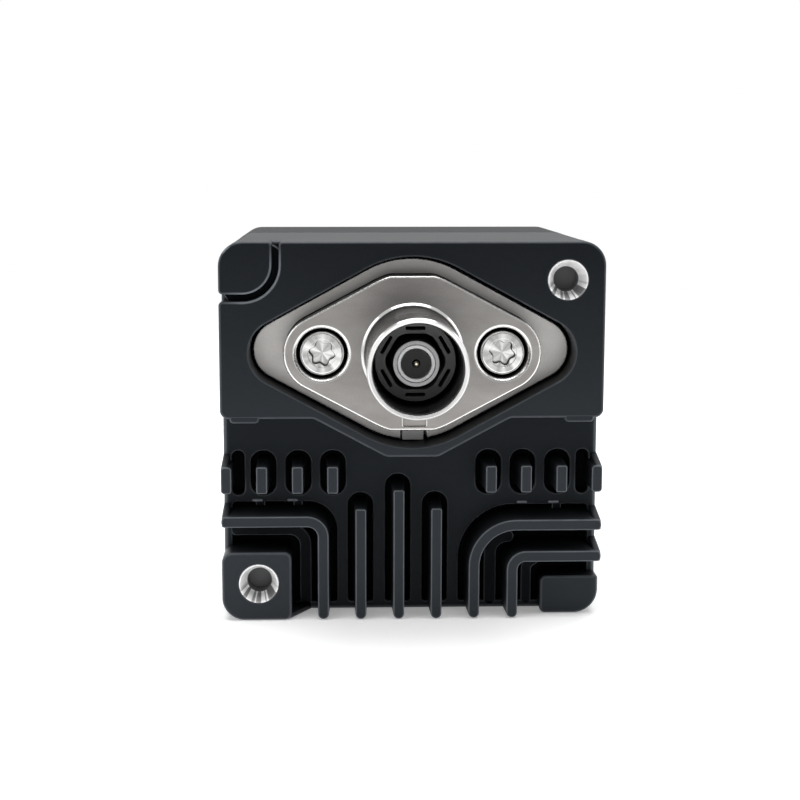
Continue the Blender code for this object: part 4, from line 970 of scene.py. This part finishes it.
# Shell, white ring, dark core and pin, one inside the other; the core is darkened as painted shade
# between its rim and a ring round the pin that is left lighter as painted highlight.
def makeCoax():
    y, tail = (corner[1] for corner in boxMm("coax_shell"))
    core, tip = boxMm("coax_dielectric")[0][1], boxMm("coax_pin")[0][1]
    portPiece("coax_shell", [(2.5, y + 0.02), (2.58, y + 0.12), (2.58, tail), (2.06, tail), (2.06, y + 0.12),
                             (2.1, y + 0.02)], "coaxMetal", "steel")
    portPiece("coax_insulator", [(2.04, y + 0.02), (2.04, tail), (1.66, tail), (1.66, y + 0.2),
                                 (1.72, y + 0.02)], "whitePlastic", "white_plastic")
    portPiece("coax_dielectric", [(1.55, core), (1.6, core + 0.05), (1.6, tail), (0.42, tail),
                                  (0.42, core + 0.1), (0.52, core)], "corePlastic", "black_plastic", 96,
              paint=lambda r, y, wearAndLight: np.where((r > 0.6) & (r < 1.5), -1.0, wearAndLight))
    portPiece("coax_pin", [(0, tip), (0.12, tip + 0.01), (0.28, tip + 0.16), (0.3, tip + 0.4), (0.3, tail),
                           (0, tail)], "gold", "gold", 48, 0.03)


makeFlange(flange)
makeGasket(flange)
makeBarrel(flange["footR"])
makeSleeve()
makeCoax()
print("connector done")

nosepiece = {"flangeR": 18.0, "barrelR": 15.85, "teeth": 120, "toothDepth": 0.22, "flangeHeight": 3.0}
dustCap = {"outerR": 17.2, "innerR": 16.0, "ribs": 72, "ribDepth": 0.25, "roof": 1.8}


# Knurled rim: radius falls by depth * (0.5 - 0.5 cos(teeth * angle)) where the flange is widest.
def makeNosepiece(n):
    shoulder, end = frontHigh[1] + 0.3, boxMm("nosepiece")[1][1]
    front = shoulder + n["flangeHeight"]
    r, b = n["flangeR"], n["barrelR"]

    def knurl(radius, y, angle):
        band = np.clip((y - shoulder - 0.35) * 6, 0, 1) * np.clip((front - 0.35 - y) * 6, 0, 1)
        return -n["toothDepth"] * (radius > r - 0.1) * band * (0.5 - 0.5 * np.cos(n["teeth"] * angle))

    rim = [(r, shoulder + 0.5 + 0.25 * i) for i in range(9)]
    profile = ([(11.3, 15.1), (12.3, 15.1), (12.55, 15.4), (12.55, shoulder), (13.3, shoulder),
                (13.3, shoulder + 0.9), (15.1, shoulder + 0.9), (15.1, shoulder), (r - 0.3, shoulder),
                (r, shoulder + 0.3)] + rim + [(r, front - 0.3), (r - 0.3, front), (b, front),
               (b, 25.0), (15.35, 25.6), (15.35, 30.4), (b, 31.0), (b, end - 0.5), (b - 0.5, end),
               (14.3, end), (14.3, end - 4), (13.8, end - 4.2), (13.8, front + 0.5), (11.3, front - 1.0)])
    heap = Heap()
    addTurned(heap, profile, 0, axisZ, 5 * n["teeth"], 0.08, knurl)
    heap.place("nosepieceFine", "anodised", "nosepiece", "black_metal", "nosepiece")


# Cap: ribs round the grip, where the radius falls by depth * cos^8 of half the rib angle, and a dish.
def makeDustCap(c):
    mouth, end = (corner[1] for corner in boxMm("dust_cap"))
    roof = end - c["roof"]

    def ribs(radius, y, angle):
        band = np.clip((y - mouth - 1.6) * 2, 0, 1) * np.clip((end - 2.2 - y) * 2, 0, 1)
        return -c["ribDepth"] * (radius > c["outerR"] - 0.05) * band * np.cos(c["ribs"] * angle / 2) ** 8

    side = [(c["outerR"], mouth + 1.0 + (end - mouth - 3.0) * i / 14) for i in range(15)]
    profile = [(0, roof), (c["innerR"], roof), (c["innerR"], mouth), (c["outerR"], mouth)] + side + [
        (c["outerR"], end - 0.9), (c["outerR"] - 0.8, end), (14.2, end), (13.6, end - 0.45), (0, end - 0.45)]
    heap = Heap()
    addTurned(heap, profile, 0, axisZ, 576, 0.3, ribs)
    heap.place("dustCapFine", "capPlastic", "dust_cap", "black_plastic", "dust_cap")


makeNosepiece(nosepiece)
makeDustCap(dustCap)
print("nosepiece and cap done")

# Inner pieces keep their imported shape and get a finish: finish, then the nodes that have it.
kept = {
    "rubber": ("housing_gasket", "window_seal", "nosepiece_seal"),
    "milled": ("board_coax_socket", "cold_finger", "retainer_screw_left", "retainer_screw_right",
               "sensor_screw_left", "sensor_screw_right", *(f"board_screw_{n}" for n in range(1, 5))),
    "board": ("main_board", "sensor_board"),
    "plastic": ("serializer_chip", "power_inductor", "board_link_header", "image_sensor"),
    "creamPlastic": ("board_link_socket",),
    "gasket": ("hot_thermal_pad",),
    "ceramic": ("peltier_module",),
    "glass": ("sensor_glass", "optical_window"),
    "anodised": ("window_retainer",),
}
for key, nodes in kept.items():
    for node in nodes:
        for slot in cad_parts[node].material_slots:
            slot.material = finishes[key]
print("inner pieces finished")

# Floor, light and camera, in metres; a box is place, aim, width, height and power.
stage = {
    "size": 3.0, "fade": (0.1, 0.42), "glow": 0.25, "world": (0.3, 0.9),
    "boxes": {"topBox": ((0.0, 0.02, 0.42), (0, 0, 0.03), 0.36, 0.3, 2.0),
              "leftBox": ((-0.4, -0.16, 0.2), (0, 0, 0.02), 0.2, 0.35, 0.5),
              "rightBox": ((0.42, -0.1, 0.16), (0, 0, 0.02), 0.16, 0.35, 0.35),
              "fillBox": ((-0.05, -0.5, 0.0), (0, 0, 0.02), 0.4, 0.12, 0.1)},
    "lens": 57.37, "shift": (0.03, -0.11), "eye": (-0.0078, -0.16144, 0.05228),
    "turn": (math.pi / 2 - 0.1129, 0, -0.0253),
}


def makeFloor():
    heap = Heap()
    reach = stage["size"] / 2 / mm
    grid = np.linspace(-reach, reach, 25)
    x, y = np.meshgrid(grid, grid, indexing="ij")
    points = np.stack([x, y, np.full_like(x, -0.05)], -1)
    n = len(grid)
    heap.add(points, np.broadcast_to([0.0, 0.0, 1.0], points.shape), 0.0)
    index = np.arange(n * n).reshape(n, n)
    quads = np.stack([index[:-1, :-1], index[1:, :-1], index[1:, 1:], index[:-1, 1:]], -1).reshape(-1, 4)
    heap.faces.append(quads)
    f = Finish("paleFloor", Specular_IOR_Level=0.2, Emission_Color=(1, 1, 1, 1),
               Emission_Strength=stage["glow"])
    x, y, _ = f.axes()
    f.set(Alpha=1 - ((x * x + y * y) ** 0.5).ramp(*stage["fade"]))
    f.set(Base_Color=f.blend(f.noise(9), (0.86, 0.86, 0.865), (0.9, 0.9, 0.905)))
    f.set(Roughness=0.75 + f.noise(60, 2.0) * 0.15)
    heap.build("floor", f.material)


def softBox(name, place, aim, width, height, power):
    data = bpy.data.lights.new(name, "AREA")
    data.shape, data.size, data.size_y, data.energy = "RECTANGLE", width, height, power
    lamp = bpy.data.objects.new(name, data)
    lamp.location = place
    lamp.rotation_euler = (Vector(aim) - Vector(place)).to_track_quat("-Z", "Y").to_euler()
    bpy.context.scene.collection.objects.link(lamp)


# Surround: brighter behind the object than on the viewer's side; the view itself sees it pale.
def makeWorld():
    world = bpy.data.worlds.new("studio")
    world.use_nodes = True
    sky = Graph(world.node_tree)
    low, high = stage["world"]
    toward = sky.node("ShaderNodeTexCoord", {}, [], "Generated")
    lit = sky.node("ShaderNodeSeparateXYZ", {}, [toward], "Y").ramp(-0.35, 0.45) * (high - low) + low
    seen = sky.node("ShaderNodeLightPath", {}, [], "Is Camera Ray")
    back = sky.tree.nodes["Background"]
    back.inputs["Color"].default_value = (1, 1, 1, 1)
    sky.tree.links.new((lit * (1 - seen) + seen).socket, back.inputs["Strength"])
    bpy.context.scene.world = world
    bpy.context.scene.view_settings.view_transform = "Standard"


def makeCamera():
    data = bpy.data.cameras.new("camera")
    data.lens, data.sensor_width = stage["lens"], 36
    data.shift_x, data.shift_y = stage["shift"]
    data.clip_start, data.clip_end = 0.005, 20
    camera = bpy.data.objects.new("camera", data)
    camera.location, camera.rotation_euler = stage["eye"], stage["turn"]
    bpy.context.scene.collection.objects.link(camera)
    bpy.context.scene.camera = camera


makeFloor()
makeWorld()
makeCamera()
for name, settings in stage["boxes"].items():
    softBox(name, *settings)
print("stage done")
